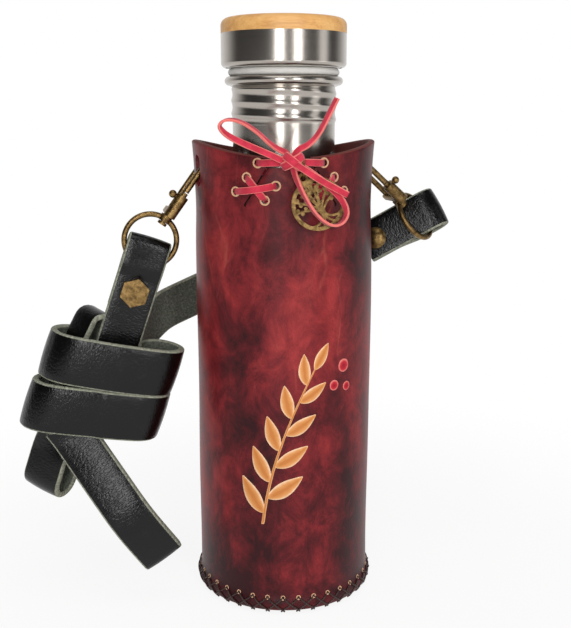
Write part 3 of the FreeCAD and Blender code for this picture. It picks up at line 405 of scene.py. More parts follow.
class Piece:
    """Collects grids of points, and becomes one mesh object at the origin."""

    def __init__(self, name):
        self.name = name
        self.points, self.quads, self.uvs, self.marks, self.count = [], [], [], [], 0

    def take(self, points, uv, mark, quads):
        self.points.append(points.reshape(-1, 3))
        self.uvs.append(uv.reshape(-1, 2))
        self.marks.append(mark.reshape(-1))
        self.quads.append(quads + self.count)
        self.count += len(self.points[-1])

    def grid(self, points, close_rows=False, close_columns=False, uv=None, mark=0.0, caps=False, cut=True):
        """Add a grid of shape (rows, columns, 3) in mm; uv has the same shape with 2 values, mark one value.

        Caps close both ends; a cut end has the mark 0, an end that meets the next piece keeps its own.
        """
        rows, columns = points.shape[:2]
        uv = np.zeros((rows, columns, 2)) if uv is None else uv
        mark = np.broadcast_to(mark, (rows, columns))
        self.take(points, uv, mark, grid_faces(rows, columns, close_rows, close_columns))
        here = np.arange(columns)
        centre = np.full(columns, columns)
        fan = np.stack([here, centre, centre, (here + 1) % columns], axis=1)
        for row, order in ((0, 1), (rows - 1, -1)) if caps else ():
            own = np.zeros(columns + 1) if cut else np.append(mark[row], 1.0)
            self.take(np.vstack([points[row], points[row].mean(axis=0)]),
                      np.vstack([uv[row], uv[row].mean(axis=0)]), own, fan[:, ::order])

    def build(self, body, slot, smooth_angle=50.0, material=None, node=None):
        """Make the mesh, merge its doubles, turn its faces outwards, ride on a body and replace a node."""
        mesh = bpy.data.meshes.new(self.name)
        faces = [list(dict.fromkeys(quad)) for quad in np.vstack(self.quads).tolist()]
        mesh.from_pydata((np.vstack(self.points) * MM).tolist(), [], faces)
        corner_vertex = np.empty(len(mesh.loops), dtype=np.int32)
        mesh.loops.foreach_get("vertex_index", corner_vertex)
        layer = mesh.uv_layers.new(name="UVMap")
        layer.data.foreach_set("uv", np.vstack(self.uvs)[corner_vertex].astype(np.float32).ravel())
        mark = mesh.attributes.new("side_mark", "FLOAT", "POINT")
        mark.data.foreach_set("value", np.concatenate(self.marks).astype(np.float32))
        work = bmesh.new()
        work.from_mesh(mesh)
        bmesh.ops.remove_doubles(work, verts=work.verts, dist=1e-6)
        bmesh.ops.recalc_face_normals(work, faces=work.faces)
        work.to_mesh(mesh)
        work.free()
        mesh.materials.append(material or FINISHES[slot])
        mesh.shade_smooth()
        mesh.set_sharp_from_angle(angle=math.radians(smooth_angle))
        made = add_object(self.name, mesh)
        if body:
            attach(made, body)
        if node:
            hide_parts(node)
        print(self.name, len(mesh.polygons), "faces")
        return made


# %% [markdown]
# ## Paths, bands and tubes
# Straps and laces are flat bands along a path, threads and wires are tubes. A path is a list of points: its
# corners are rounded by arcs, it is sampled again at even steps, and then smoothed a little.

# %% Paths, bands and tubes
def unit(vectors):
    """Each vector divided by its length."""
    return vectors / np.linalg.norm(vectors, axis=-1, keepdims=True)


def run_along(path):
    """Distance of each point from the start of a polyline."""
    return np.concatenate([[0.0], np.cumsum(np.linalg.norm(np.diff(path, axis=0), axis=1))])


def rising(value, start, long):
    """0 up to the start, 1 from start + long on, and an even climb between them."""
    return np.clip((value - start) / long, 0.0, 1.0)


def between(places, known, vectors):
    """Vectors at some places, interpolated between the known places."""
    return np.stack([np.interp(places, known, vectors[:, k]) for k in range(3)], axis=1)


def resample(path, spacing):
    """Points at even steps along a polyline."""
    run = run_along(path)
    return between(np.linspace(0.0, run[-1], max(int(run[-1] / spacing), 3) + 1), run, path)


def rounded_route(corners, radii, steps=9):
    """A polyline with each inner corner replaced by an arc of the given radius, sampled by its angle."""
    corners = np.asarray(corners, dtype=float)
    share = np.linspace(0.0, 1.0, steps)[:, None]
    pieces = [corners[:1]]
    for before, corner, after, radius in zip(corners, corners[1:], corners[2:], radii):
        toward, away = unit(before - corner), unit(after - corner)
        half = np.arccos(np.clip(toward @ away, -1.0, 1.0)) / 2
        centre = corner + unit(toward + away) * radius / np.sin(half)
        start, end = corner + toward * radius / np.tan(half), corner + away * radius / np.tan(half)
        pieces.append(centre + unit(start - centre + (end - start) * share) * radius)
    pieces.append(corners[-1:])
    return np.vstack(pieces)


def smoothed(path, times):
    """Each inner point moves to the mean of its neighbours and itself, some number of times."""
    for _ in range(times):
        path = path.copy()
        path[1:-1] = (path[:-2] + 2 * path[1:-1] + path[2:]) / 4
    return path


def band_profile(width, thick, corner, corner_steps=4, flat_steps=6):
    """Outline of a flat strip: a rectangle with rounded corners, as (across, through) pairs."""
    half_w, half_t = width / 2 - corner, thick / 2 - corner
    quarter = np.linspace(0.0, np.pi / 2, corner_steps)
    flat = np.linspace(half_w, -half_w, flat_steps + 2)[1:-1]
    outline = []
    for turn, (sign_w, sign_t) in enumerate([(1, 1), (-1, 1), (-1, -1), (1, -1)]):
        angle = quarter + turn * np.pi / 2
        arc_w, arc_t = corner * np.cos(angle), corner * np.sin(angle)
        outline.append(joined(sign_w * half_w + arc_w, sign_t * half_t + arc_t))
        if turn in (0, 2):
            outline.append(joined(sign_w * flat, sign_t * thick / 2))
    return np.vstack(outline)


def band(piece, path, across, width, thick, corner, spacing=1.5, flip=1.0, wave=None, crown=0.0, cut=True):
    """A flat strip along a path: point = path + across * a + through * (t - crown * (2 a / width) ** 2).

    (a, t) is a pair of the profile, and through is the path's direction crossed with across. The mark is 1 on
    the grain side and -1 on the flesh side; crown bows the strip to its grain side. Returns the length.
    """
    spots = resample(path, spacing)
    old_run = run_along(path)
    run = np.linspace(0.0, old_run[-1], len(spots))
    across = between(run, old_run, np.broadcast_to(across, (len(path), 3)))
    ahead = unit(np.gradient(spots, axis=0))
    across = unit(across - ahead * np.sum(across * ahead, axis=1, keepdims=True))
    through = np.cross(ahead, across) * flip
    if wave is not None:
        spots = spots + through * wave(run)[:, None]
    wide, deep = band_profile(width, thick, corner).T
    grid = (spots[:, None, :] + across[:, None, :] * wide[None, :, None]
            + through[:, None, :] * (deep - crown * (2 * wide / width) ** 2)[None, :, None])
    uv = joined(run[:, None], wide) * MM
    mark = np.where(np.abs(deep) > thick / 2 - 0.05 * corner, np.sign(deep), 0.0)
    piece.grid(grid, close_columns=True, uv=uv, mark=mark, caps=True, cut=cut)
    return run[-1]


def tube(piece, path, radius, sides=8):
    """A round thread along a path: point = path + radius * (normal * cos a + second * sin a)."""
    ahead = unit(np.gradient(path, axis=0))
    helper = np.where(np.abs(ahead[:, 2:]) < 0.8, UP, np.array([1.0, 0.0, 0.0]))
    normal = unit(np.cross(ahead, helper))
    second = np.cross(ahead, normal)
    angle = circle(sides)
    grid = path[:, None, :] + radius * (normal[:, None, :] * np.cos(angle)[None, :, None]
                                        + second[:, None, :] * np.sin(angle)[None, :, None])
    uv = joined(run_along(path)[:, None], angle * radius) * MM
    piece.grid(grid, close_columns=True, uv=uv, caps=True)


# %% [markdown]
# ## The sleeve
# The sleeve is one sheet of moulded leather, rolled and laced up the back. Its mouth rises to a horn at each
# side and dips at the front and back, the leather is drawn in a little below the horns, and its foot swells
# round the base cup. A grid over angle and height gives the outer skin; the inner skin is the same grid, one
# leather thickness further in; two rounded rims join them.

# %% Sleeve surface
SLEEVE_RADIUS, LEATHER, MOUTH_HIGH, MOUTH_DROP, FOOT_LIFT = 41.6, 3.0, 218.0, 8.6, 1.4
SLEEVE_STEPS, RIM_STEPS, RIM_HIGH, MOUTH_BEYOND = 288, 7, 0.9, 6.0
FOOT_SWELL, FOOT_MIDDLE, FOOT_SPREAD = 1.15, 4.6, 3.0
LIP_SWELL, LIP_LOW, LIP_LONG = 0.7, 203.0, 15.0
DRAWN_IN, DRAWN_MIDDLE, DRAWN_SPREAD = 0.55, 189.0, 13.0
TONGUE_RISE, TONGUE_LOW, TONGUE_LONG = 0.45, 189.0, 9.0
TONGUE_HALF, TONGUE_BASE, TONGUE_TAPER, TONGUE_EDGE = 19.4, 191.0, 0.58, 1.2
WALL_WAVES, WAVES_LOW = ((0.16, 3, 31.0), (0.12, 5, -23.0), (0.10, 2, 13.0)), 20.0


def mouth_height(angle):
    """Height of the mouth: highest at the sides, lowest at the front and back, as an arch over Y."""
    reach = SLEEVE_RADIUS * np.cos(angle)
    return MOUTH_HIGH - MOUTH_DROP * (reach / (SLEEVE_RADIUS + MOUTH_BEYOND)) ** 2


def sleeve_radius(angle, height):
    """Radius at an angle from the front: swelling foot, lip at the horns, raised tongue, slight waves.

    Each is a rise in mm times a bell or a ramp about a height up the sleeve.
    """
    foot = FOOT_SWELL * np.exp(-((height - FOOT_MIDDLE) / FOOT_SPREAD) ** 2)
    side = np.sin(angle) ** 2
    lip = LIP_SWELL * side ** 2 * rising(height, LIP_LOW, LIP_LONG) ** 2
    drawn = -DRAWN_IN * side ** 3 * np.exp(-((height - DRAWN_MIDDLE) / DRAWN_SPREAD) ** 2)
    waves = sum(high * np.sin(count * angle + height / stretch) for high, count, stretch in WALL_WAVES)
    across = np.abs(SLEEVE_RADIUS * np.sin(angle))
    tongue_half = TONGUE_HALF - (height - TONGUE_BASE) * TONGUE_TAPER
    inside = rising(tongue_half - across, 0.0, TONGUE_EDGE) * (np.cos(angle) > 0)
    tongue = TONGUE_RISE * inside * rising(height, TONGUE_LOW, TONGUE_LONG)
    return SLEEVE_RADIUS + foot + lip + drawn + tongue + waves * rising(height, 0.0, WAVES_LOW)


def round_spot(angle, radius, height):
    """A point at an angle from the front (-Y), positive to the right."""
    return joined(radius * np.sin(angle), -radius * np.cos(angle), height)


def sleeve_piece():
    """At each angle the points run up the outside, over the mouth, down the inside and under the foot."""
    angle = np.linspace(-np.pi, np.pi, SLEEVE_STEPS, endpoint=False)[:, None]
    climb = np.concatenate([np.linspace(0.0, 0.06, 12), np.linspace(0.06, 0.9, 70)[1:],
                            np.linspace(0.9, 1.0, 22)[1:]])
    low, high = FOOT_LIFT + RIM_HIGH, mouth_height(angle) - RIM_HIGH
    height = low + (high - low) * climb[None, :]
    outer = sleeve_radius(angle, height)
    inner = np.minimum(outer[:, ::-1] - LEATHER, SLEEVE_RADIUS - LEATHER + 0.5)
    turn = np.linspace(0.0, np.pi, RIM_STEPS + 2)[None, 1:-1]
    rim = sleeve_radius(angle, high) - LEATHER / 2 + LEATHER / 2 * np.cos(turn)
    foot = sleeve_radius(angle, low) - LEATHER / 2 - LEATHER / 2 * np.cos(turn)
    foot_level = np.broadcast_to(low - RIM_HIGH * np.sin(turn), foot.shape)
    radius = np.concatenate([outer, rim, inner, foot], axis=1)
    level = np.concatenate([height, high + RIM_HIGH * np.sin(turn), height[:, ::-1], foot_level], axis=1)
    mark = np.repeat([0.0, 1.0], [len(climb), len(climb) + 2 * RIM_STEPS])
    piece = Piece("sleeve_skin")
    piece.grid(round_spot(angle, radius, level), close_rows=True, close_columns=True,
               uv=joined(angle * SLEEVE_RADIUS, level) * MM, mark=mark)
    return piece.build("sleeve", "sleeve_leather")


sleeve = sleeve_piece()

# %% [markdown]
# ## Openings in the sleeve
# A maker cuts the front slit, the lace holes, the slots of the hooks and the stitch holes with knives and
# punches, and the same is done here: one cutter mesh holds all the blades, and a Boolean modifier takes
# them away. The slit is an upside-down V that leaves a tongue between its legs.

# %% Openings in the sleeve
HOLE_ROWS, HOLE_STEP = ((14.2, 209.2, 3), (6.6, 199.6, 2)), (4.7, -6.2)
HOLE_RADIUS, HOLE_FRONT, HOLE_REACH = 1.75, -38.0, 12.0
STITCHES, STITCH_HIGH, STITCH_HOLE, STITCH_RADIUS, STITCH_REACH = 36, 8.1, 0.75, 41.0, 4.0
SLOT_PLACES, SLOT_APART, SLOT_HALF, SLOT_LOW, SLOT_HIGH = ((-1, -5.2), (1, 12.0)), 6.5, 2.9, 200.3, 208.7
SLOT_FROM, SLOT_TO, SLIT_FROM, SLIT_TO = 20.0, 60.0, -55.0, -20.0
SLIT_LEG = np.array([(9.9, 207.2), (19.2, 191.6), (19.3, 190.6), (19.6, 190.2), (19.9, 190.6), (20.0, 191.6),
                     (4.5, 218.0), (4.5, 222.0)])
ALONG_X, ALONG_Y = 0, 1


def hole_spots(side):
    """Centres (x, height) of one side's lace holes: three in the wall, then two in the tongue."""
    return [(side * (x + HOLE_STEP[0] * k), z + HOLE_STEP[1] * k) for x, z, count in HOLE_ROWS
            for k in range(count)]


def punch(piece, centre, way, radius, reach, sides=20):
    """A round blade: a cylinder of some reach about a centre, along a way."""
    tube(piece, np.asarray(centre) + np.outer((-reach, reach), way), radius, sides)


def prism(piece, outline, low, high, axis):
    """A blade with a flat outline, from low to high along an axis."""
    ends = [np.insert(outline, axis, depth, axis=1) for depth in (low, high)]
    piece.grid(np.stack(ends), close_columns=True, caps=True)


cutter = Piece("sleeve_cutter")
prism(cutter, np.vstack([SLIT_LEG[::-1] * np.array([-1.0, 1.0]), SLIT_LEG]), SLIT_FROM, SLIT_TO, ALONG_Y)
for side in (-1, 1):
    for x, z in hole_spots(side):
        punch(cutter, (x, HOLE_FRONT, z), (0.0, 1.0, 0.0), HOLE_RADIUS, HOLE_REACH)
half_turn = np.linspace(0.0, np.pi, 9)
slot_end = SLOT_HALF * joined(np.cos(half_turn), np.sin(half_turn))
for side, shift in SLOT_PLACES:
    for middle in (shift - SLOT_APART, shift + SLOT_APART):
        slot = np.vstack([slot_end + [middle, SLOT_HIGH], -slot_end + [middle, SLOT_LOW]])
        prism(cutter, slot, side * SLOT_FROM, side * SLOT_TO, ALONG_X)
stitch_angles = (np.arange(STITCHES) + 0.5) * 2 * np.pi / STITCHES
for angle in stitch_angles:
    punch(cutter, round_spot(angle, STITCH_RADIUS, STITCH_HIGH), round_spot(angle, 1.0, 0.0), STITCH_HOLE,
          STITCH_REACH, 8)
cutter.marks = [np.ones_like(mark) for mark in cutter.marks]
cutter_object = cutter.build("sleeve", "sleeve_leather")
blade = sleeve.modifiers.new("openings", "BOOLEAN")
blade.operation = "DIFFERENCE"
blade.solver = "MANIFOLD"
blade.object = cutter_object
cut_mesh = bpy.data.meshes.new_from_object(sleeve.evaluated_get(bpy.context.evaluated_depsgraph_get()))
sleeve.modifiers.clear()
sleeve.data = cut_mesh
cut_mesh.name = "sleeve_skin"
bpy.data.objects.remove(cutter_object)
cut_mesh.shade_smooth()
cut_mesh.set_sharp_from_angle(angle=math.radians(50.0))
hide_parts("sleeve_wall")
print("sleeve faces after cutting:", len(cut_mesh.polygons))

# %% [markdown]
# ## Lips of the holes
# A punch leaves a pale, slightly raised lip round its hole. Each lip is a thin ring on the skin: a circle in
# angle and height, lifted to the sleeve's radius, with a small round section.

# %% Lips of the holes
LIP_MARK, LACE_LIP, STITCH_LIP = 2.0, (1.9, 0.42, 28, 8), (0.9, 0.3, 12, 6)


def lip(piece, angle, height, size):
    """A ring round a hole: its line is a circle on the skin, its section a circle across that line."""
    radius, half, steps, sides = size
    turn, section = circle(steps)[:, None], circle(sides)
    away = radius + half * np.cos(section)
    spot_angle = angle + away * np.cos(turn) / SLEEVE_RADIUS
    spot_height = height + away * np.sin(turn)
    lift = sleeve_radius(spot_angle, spot_height) - 0.4 * half + half * np.sin(section)
    points = round_spot(spot_angle, lift, spot_height)
    piece.grid(points, close_rows=True, close_columns=True, uv=points[..., :2] * MM, mark=LIP_MARK)


lips = Piece("hole_lips")
for side in (-1, 1):
    for x, z in hole_spots(side):
        lip(lips, np.arcsin(x / SLEEVE_RADIUS), z, LACE_LIP)
for angle in stitch_angles:
    lip(lips, angle, STITCH_HIGH, STITCH_LIP)
lips.build("sleeve", "sleeve_leather")

# %% [markdown]
# ## The bottle
# The bottle is drawn from one tube of steel: a straight body, a shoulder, and a neck with rolled thread
# ridges under a rolled rim. A profile turned round the axis gives it. The thread is a helix, so the ridge's
# height depends on the angle as well: a bump whose place falls by one pitch in each turn.

# %% Bottle
NECK_RADIUS, NECK_LOW, NECK_HIGH, NECK_ROWS, BOTTLE_STEPS = 23.6, 208.4, 241.6, 110, 180
PITCH, RIDGE_HIGH, RIDGE_HALF, THREAD_START, THREAD_LOW, THREAD_HIGH = 5.8, 0.55, 1.5, 239.8, 224.6, 242.0
RIM_RADIUS, RIM_LEVEL, BEAD, THREAD_IN, THREAD_OUT = 25.1, 244.2, 2.0, 2.5, 1.6


def through(start, middle, end):
    """A parabola through three points: the start at 0, the middle at one half and the end at 1."""
    way = np.linspace(0.0, 1.0, 9)[1:, None]
    return ((1 - way) * (1 - 2 * way) * np.array(start) + 4 * way * (1 - way) * np.array(middle)
            + way * (2 * way - 1) * np.array(end))


def bottle_profile():
    """Outer profile from the foot to the rim, then over it and down inside, as (radius, height)."""
    body = [(0.0, 5.2), (26.0, 5.2), (30.5, 4.2), (33.2, 5.0), (34.5, 7.6), (34.5, 60.0), (34.5, 120.0),
            (34.5, 178.0)]
    shoulder = np.vstack([through((34.5, 178.0), (33.0, 186.0), (28.8, 193.0)),
                          through((28.8, 193.0), (25.1, 200.0), (NECK_RADIUS, 208.0))])
    neck = joined(NECK_RADIUS, np.linspace(NECK_LOW, NECK_HIGH, NECK_ROWS))
    bead = np.linspace(-0.5 * np.pi, np.pi, 15)
    rim = joined(RIM_RADIUS + BEAD * np.cos(bead), RIM_LEVEL + BEAD * np.sin(bead))
    inside = [(22.7, 243.6), (22.7, 208.0), (24.2, 200.0), (27.9, 193.0), (32.1, 186.0), (33.6, 178.0),
              (33.6, 10.0), (32.0, 6.6), (0.0, 6.2)]
    return np.vstack([body, shoulder, neck, rim, inside])


def bottle_piece():
    """The profile turned round the axis, with the thread's ridge added on the neck."""
    radius, height = bottle_profile().T[:, None, :]
    angle = np.linspace(-np.pi, np.pi, BOTTLE_STEPS, endpoint=False)[:, None]
    on_neck = (radius == NECK_RADIUS) & (height >= NECK_LOW)
    lead = (height - THREAD_START + angle / (2 * np.pi) * PITCH) / PITCH
    ridge = RIDGE_HIGH * np.exp(-((lead - np.round(lead)) * PITCH / RIDGE_HALF) ** 2)
    alive = rising(height, THREAD_LOW, THREAD_IN) * rising(THREAD_HIGH - height, 0.0, THREAD_OUT)
    piece = Piece("bottle_steel")
    piece.grid(round_spot(angle, radius + np.where(on_neck, ridge * alive, 0.0), height), close_rows=True)
    piece.build("bottle", "brushed_steel", 60.0, node="bottle_shell")


bottle_piece()

# %% [markdown]
# ## Dyed sprig
# The front carries a plain leaf sprig, cut and dyed into the leather. Each leaf is a grid of two shares,
# along and across: its width is a sine along it, and its points are laid on the sleeve's own surface, a hair
# above the skin in the middle and just below it at the rim. The mark of a point says how near the rim it is.

# %% Sprig
LEAVES, FIRST_LEAF, LEAF_STEP = 9, 0.08, 0.1
BERRIES = (((26.5, 118.0), 3.4), ((21.0, 109.5), 2.7), ((28.5, 108.0), 2.4))
LENS_TOP, LENS_BOTTOM, LENS_RIM = 0.16, -0.4, -0.1
STEM_SIDE, STEM_HEIGHT, STEM_HALF, TIP_SHARE = (-13.0, 8.0, 17.0), (44.0, 76.0), (0.9, 0.4), 0.97
STEM_HEADING, LEAF_SPREAD, LEAF_LONG, LEAF_WIDE = (78.0, 16.0), (52.0, 14.0), (21.0, 7.0), (8.6, 2.6)
LEAF_BEND, TIP_LEAF = 2.2, (58.0, 14.0, 6.0, 0.6)


def dyed(name, deep, middle, rim):
    """A dye that pales to its rim, with the leather's mottle in it."""
    finish = Finish(name)
    mottle = finish.noise(finish.place(), 260.0, 5.0, 0.65)
    colour = finish.ramp(finish.mark() * 0.8 + mottle * 0.4 - 0.1, [(0.2, deep), (0.55, middle), (0.82, rim)])
    return finish.shade(Base_Color=colour, Roughness=0.44 + mottle * 0.16, Specular_IOR_Level=0.16,
                        Normal=finish.bump(mottle, 0.2, 0.0003))


def laid(piece, side, height, nearness):
    """Lay flat points (side, height) on the skin as a thin lens; nearness is 0 inside and 1 at its rim."""
    side, height, nearness = np.broadcast_arrays(side, height, nearness)
    angle = side / SLEEVE_RADIUS
    skin = sleeve_radius(angle, height)
    for middle in (LENS_TOP, LENS_BOTTOM):
        lift = middle + (LENS_RIM - middle) * nearness ** 6
        piece.grid(round_spot(angle, skin + lift, height), uv=joined(side, height) * MM, mark=nearness)


def leaf(piece, foot, heading, long, wide, bend):
    """A leaf from its foot along a heading in degrees; it bends aside with the square of the way."""
    along = np.linspace(0.0, 1.0, 18)[:, None]
    across = np.linspace(-1.0, 1.0, 11)[None, :]
    half = wide / 2 * np.sin(np.pi * along ** 0.85) ** 0.9
    aside = half * across + bend * along ** 2
    turn = math.radians(heading)
    side = foot[0] + long * along * math.cos(turn) - aside * math.sin(turn)
    height = foot[1] + long * along * math.sin(turn) + aside * math.cos(turn)
    laid(piece, side, height, np.maximum(np.abs(across), np.abs(2 * along - 1) ** 5))


def berry(piece, centre, radius):
    """A round spot of dye."""
    turn = np.linspace(0.0, 2 * np.pi, 25)[:, None]
    away = np.linspace(0.0, 1.0, 7)[None, :]
    laid(piece, centre[0] + radius * away * np.cos(turn), centre[1] + radius * away * np.sin(turn), away)


def stem_spot(share):
    """The stem is an arc that leans to the right as it climbs."""
    start, lean, bend = STEM_SIDE
    return start + lean * share + bend * share ** 2, STEM_HEIGHT[0] + STEM_HEIGHT[1] * share


def fading(size, share):
    """A size at the stem's foot, less what it loses on the way to the tip."""
    return size[0] - size[1] * share


def stem(piece):
    """A narrow strip along the stem's arc, thinner towards its tip."""
    climb = np.linspace(0.0, 1.0, 40)[:, None]
    across = np.linspace(-1.0, 1.0, 5)[None, :]
    side, height = stem_spot(climb)
    laid(piece, side + fading(STEM_HALF, climb) * across, height,
         np.maximum(np.abs(across), np.abs(2 * climb - 1) ** 60))


sprig = Piece("sprig_leaves")
for number in range(LEAVES):
    share = FIRST_LEAF + LEAF_STEP * number
    way = 1 if number % 2 else -1
    heading = fading(STEM_HEADING, share) - way * fading(LEAF_SPREAD, share)
    leaf(sprig, stem_spot(share), heading, fading(LEAF_LONG, share), fading(LEAF_WIDE, share),
         way * LEAF_BEND)
leaf(sprig, stem_spot(TIP_SHARE), *TIP_LEAF)
stem(sprig)
tan = dyed("tan_dye", (196, 122, 62), (216, 150, 90), (240, 204, 168))
sprig.build("sleeve", "sleeve_leather", material=tan)
berries = Piece("sprig_berries")
for centre, radius in BERRIES:
    berry(berries, centre, radius)
red = dyed("berry_dye", (150, 26, 40), (188, 38, 52), (226, 130, 120))
berries.build("sleeve", "sleeve_leather", material=red)

# %% [markdown]
# ## Bolt springs
# A coil spring in each barrel pushes the bolt shut. The coil is a helix round the axis of the CAD tube that
# stands for it.

# %% Springs
SPRING_TURNS, SPRING_WIRE, STEPS_IN_TURN = 6, 0.16, 20


def node_points(name):
    """The points of a CAD node in mm, in the object's frame."""
    node = frame["nodes"][name]
    points = np.empty(len(node.data.vertices) * 3)
    node.data.vertices.foreach_get("co", points)
    place = np.array(node.matrix_world)
    return (points.reshape(-1, 3) @ place[:3, :3].T + place[:3, 3]) / MM


def coil_spring(side):
    """Helix: centre + axis * along + radius * (first * cos turn + second * sin turn)."""
    points = node_points(side + "_bolt_spring")
    centre = points.mean(axis=0)
    axis, first, second = np.linalg.svd(points - centre, full_matrices=False)[2]
    if (node_points(side + "_bolt").mean(axis=0) - centre) @ axis < 0:
        axis = -axis
    along = (points - centre) @ axis
    radius = np.linalg.norm(points - centre - along[:, None] * axis, axis=1).max() - SPRING_WIRE
    low, high = along.min() + SPRING_WIRE, along.max() - SPRING_WIRE
    turn = np.linspace(0.0, 2 * np.pi * SPRING_TURNS, SPRING_TURNS * STEPS_IN_TURN + 1)[:, None]
    coil = (centre + axis * (low + (high - low) * turn / turn[-1])
            + radius * (first * np.cos(turn) + second * np.sin(turn)))
    piece = Piece(side + "_spring_coil")
    tube(piece, coil, SPRING_WIRE)
    made = piece.build(None, "spring_steel", 60.0, node=side + "_bolt_spring")
    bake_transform(made)


bpy.context.view_layer.update()
for side in ("left", "right"):
    coil_spring(side)

# %% [markdown]
# ## Hand stitches
# The base cup is laced to the sleeve with one waxed thread: from each hole two stitches slant down to the
# bottom edge, so that they cross with their neighbours. The back seam is laced with crosses too. Each stitch
# is a short bowed tube: it leaves its hole, rises over the leather and dips again.

# %% Base stitches and back seam
SEAM_STITCHES, SEAM_LOW, SEAM_STEP, SEAM_HALF, SEAM_SLANT = 15, 24.0, 12.4, 5.0, 3.1
BASE_WIRE, SEAM_WIRE, BASE_RISE, SEAM_RISE = 0.42, 0.52, {-1: 0.3, 1: 0.75}, {-1: 0.5, 1: 0.75}
SEAM_TUCK, SEAM_LIFT = 1.6, 0.3
BASE_WAY = ((0.0, 41.3, STITCH_HIGH), (0.3, 42.7, STITCH_HIGH - 0.9), (2.0, 42.5, 2.1), (2.2, 41.2, 0.75))


def bowed(start, end, outward, rise):
    """A stitch from start to end: the straight line plus outward * rise * 4 t (1 - t)."""
    share = np.linspace(0.0, 1.0, 9)[:, None]
    return start + (end - start) * share + outward * rise * 4 * share * (1 - share)


def base_stitches():
    """At each hole two stitches lean to either side; one of the two lies over the other.

    A stitch's way is four spots: a share of half a step round the base, a radius and a height.
    """
    piece = Piece("base_stitches")
    half = np.pi / STITCHES
    for angle in stitch_angles:
        for lean in (-1, 1):
            top, shoulder, low, under = (round_spot(angle + lean * half * share, radius, height)
                                         for share, radius, height in BASE_WAY)
            middle = bowed(shoulder, low, round_spot(angle + lean * half, 1.0, 0.0), BASE_RISE[lean])
            tube(piece, smoothed(np.vstack([top, middle, under]), 1), BASE_WIRE, 6)
    piece.build("sleeve", "waxed_thread", 80.0, node="base_lacing")


def seam_stitches():
    """Crosses up the back, each of two stitches whose ends are tucked into the leather."""
    piece = Piece("seam_stitches")
    tuck = np.array([0.0, SEAM_TUCK, 0.0])
    for z in SEAM_LOW + SEAM_STEP * np.arange(SEAM_STITCHES):
        for lean in (-1, 1):
            start, end = (round_spot(np.pi + way * SEAM_HALF / SLEEVE_RADIUS, SLEEVE_RADIUS + SEAM_LIFT,
                                     z + way * lean * SEAM_SLANT) for way in (-1, 1))
            middle = bowed(start, end, np.array([0.0, 1.0, 0.0]), SEAM_RISE[lean])
            tube(piece, smoothed(np.vstack([start - tuck, middle, end - tuck]), 1), SEAM_WIRE, 6)
    piece.build("sleeve", "waxed_thread", 80.0, node="back_seam_lacing")


base_stitches()
seam_stitches()

# %% [markdown]
# ## The strap in a hank
# The strap is one flat band of leather, 20 mm wide and 3 mm thick. It is folded round the ring and riveted,
# goes down behind the winding, hangs in two bights, and is wound twice round everything. All of it lies in
# the frame of the left tab: `down` along the tab, `back` away from the viewer and `aside` to the right, so
# the routes are written there and carried into the object's frame by one function.

# %% Frame of the left tab
STRAP_WIDE, STRAP_THICK, STRAP_CORNER, STRAP_CROWN = 20.0, 3.0, 1.0, 0.5
STRAP_SPACING, STRAP_SHARP, STRAP_WAVES = 1.3, 40.0, ((0.22, 13.0, 0.0), (0.14, 7.1, 1.3))
LEFT_EYE, RING_HALF, TAB_LEAN = np.array([-62.273, -7.846, 172.675]), 2.8, math.radians(19.1)
left_back = unit(np.array([-0.125, 0.99216, 0.0]))
left_down = unit(np.array([-0.99216 * math.sin(TAB_LEAN), -0.125 * math.sin(TAB_LEAN), -math.cos(TAB_LEAN)]))
left_aside = np.cross(left_down, left_back)
left_start = LEFT_EYE + RING_HALF * left_down


def hank(points):
    """Points (down, back, aside) of the left tab's frame in the object's frame."""
    return left_start + np.asarray(points, dtype=float) @ np.stack([left_down, left_back, left_aside])


def strap_band(piece, path, across, flip, wide=STRAP_WIDE, start=0.0, cut=True):
    """A run of strap: rounded edges, a slight crown and the slow waves of a strap that was coiled."""
    def wave(run):
        return sum(high * np.sin((run + start) / stretch + shift) for high, stretch, shift in STRAP_WAVES)

    long = band(piece, path, across, wide, STRAP_THICK, STRAP_CORNER, STRAP_SPACING, flip, wave,
                STRAP_CROWN, cut)
    print(piece.name, "length", round(long, 1))
    return long


def strap_piece(name, body, node, path, across, flip, cut=True):
    """A piece of strap that is one run and replaces one node."""
    piece = Piece(name)
    strap_band(piece, path, across, flip, cut=cut)
    piece.build(body, "strap_leather", STRAP_SHARP, node=node)


# %% Left tab
LAYER, FOLD, ARC_SLACK = 1.6, 3.2, 0.1
tab_route = rounded_route([(67.4, -LAYER, 0), (15.4, -LAYER, 0), (10.8, -FOLD, 0), (-FOLD, -FOLD, 0),
                           (-FOLD, FOLD, 0), (10.8, FOLD, 0), (15.4, LAYER, 0), (31.0, LAYER, 0)],
                          [4.0, 4.0, 3.15, 3.15, 4.0, 4.0])
strap_piece("left_tab_leather", "left_strap", "left_tab", hank(tab_route), left_aside, -1.0)

# %% [markdown]
# ## Winding
# The winding goes round twice: it starts behind, passes the left end, the front and the right end, crosses
# down behind, and goes round again. The ends are half circles, so each turn is a stadium. Afterwards the
# layers underneath bulge the front, and both turns are levelled, the lower one a little more. A short bight
# stands up out of the winding, beside the tab. The wound band looks a little wider than the strap, and the
# bight, which is turned away, narrower.

# %% Winding
TURN_END, TURN_FRONT, TURN_BACK, ENTRY_BACK, CROSSING = 30.0, -12.1, 8.9, 12.4, 18.0
UPPER, LOWER, LEVEL, BULGE, WINDING_WIDE, RISE_WIDE = 56.5, 80.5, 0.13, 3.0, 22.6, 14.0
ENTRY_ASIDE, LOWER_LEVEL, LOWER_RISE, LOWER_OUT, RISE_TURN = 12.0, 0.05, 0.9, 2.0, 0.75


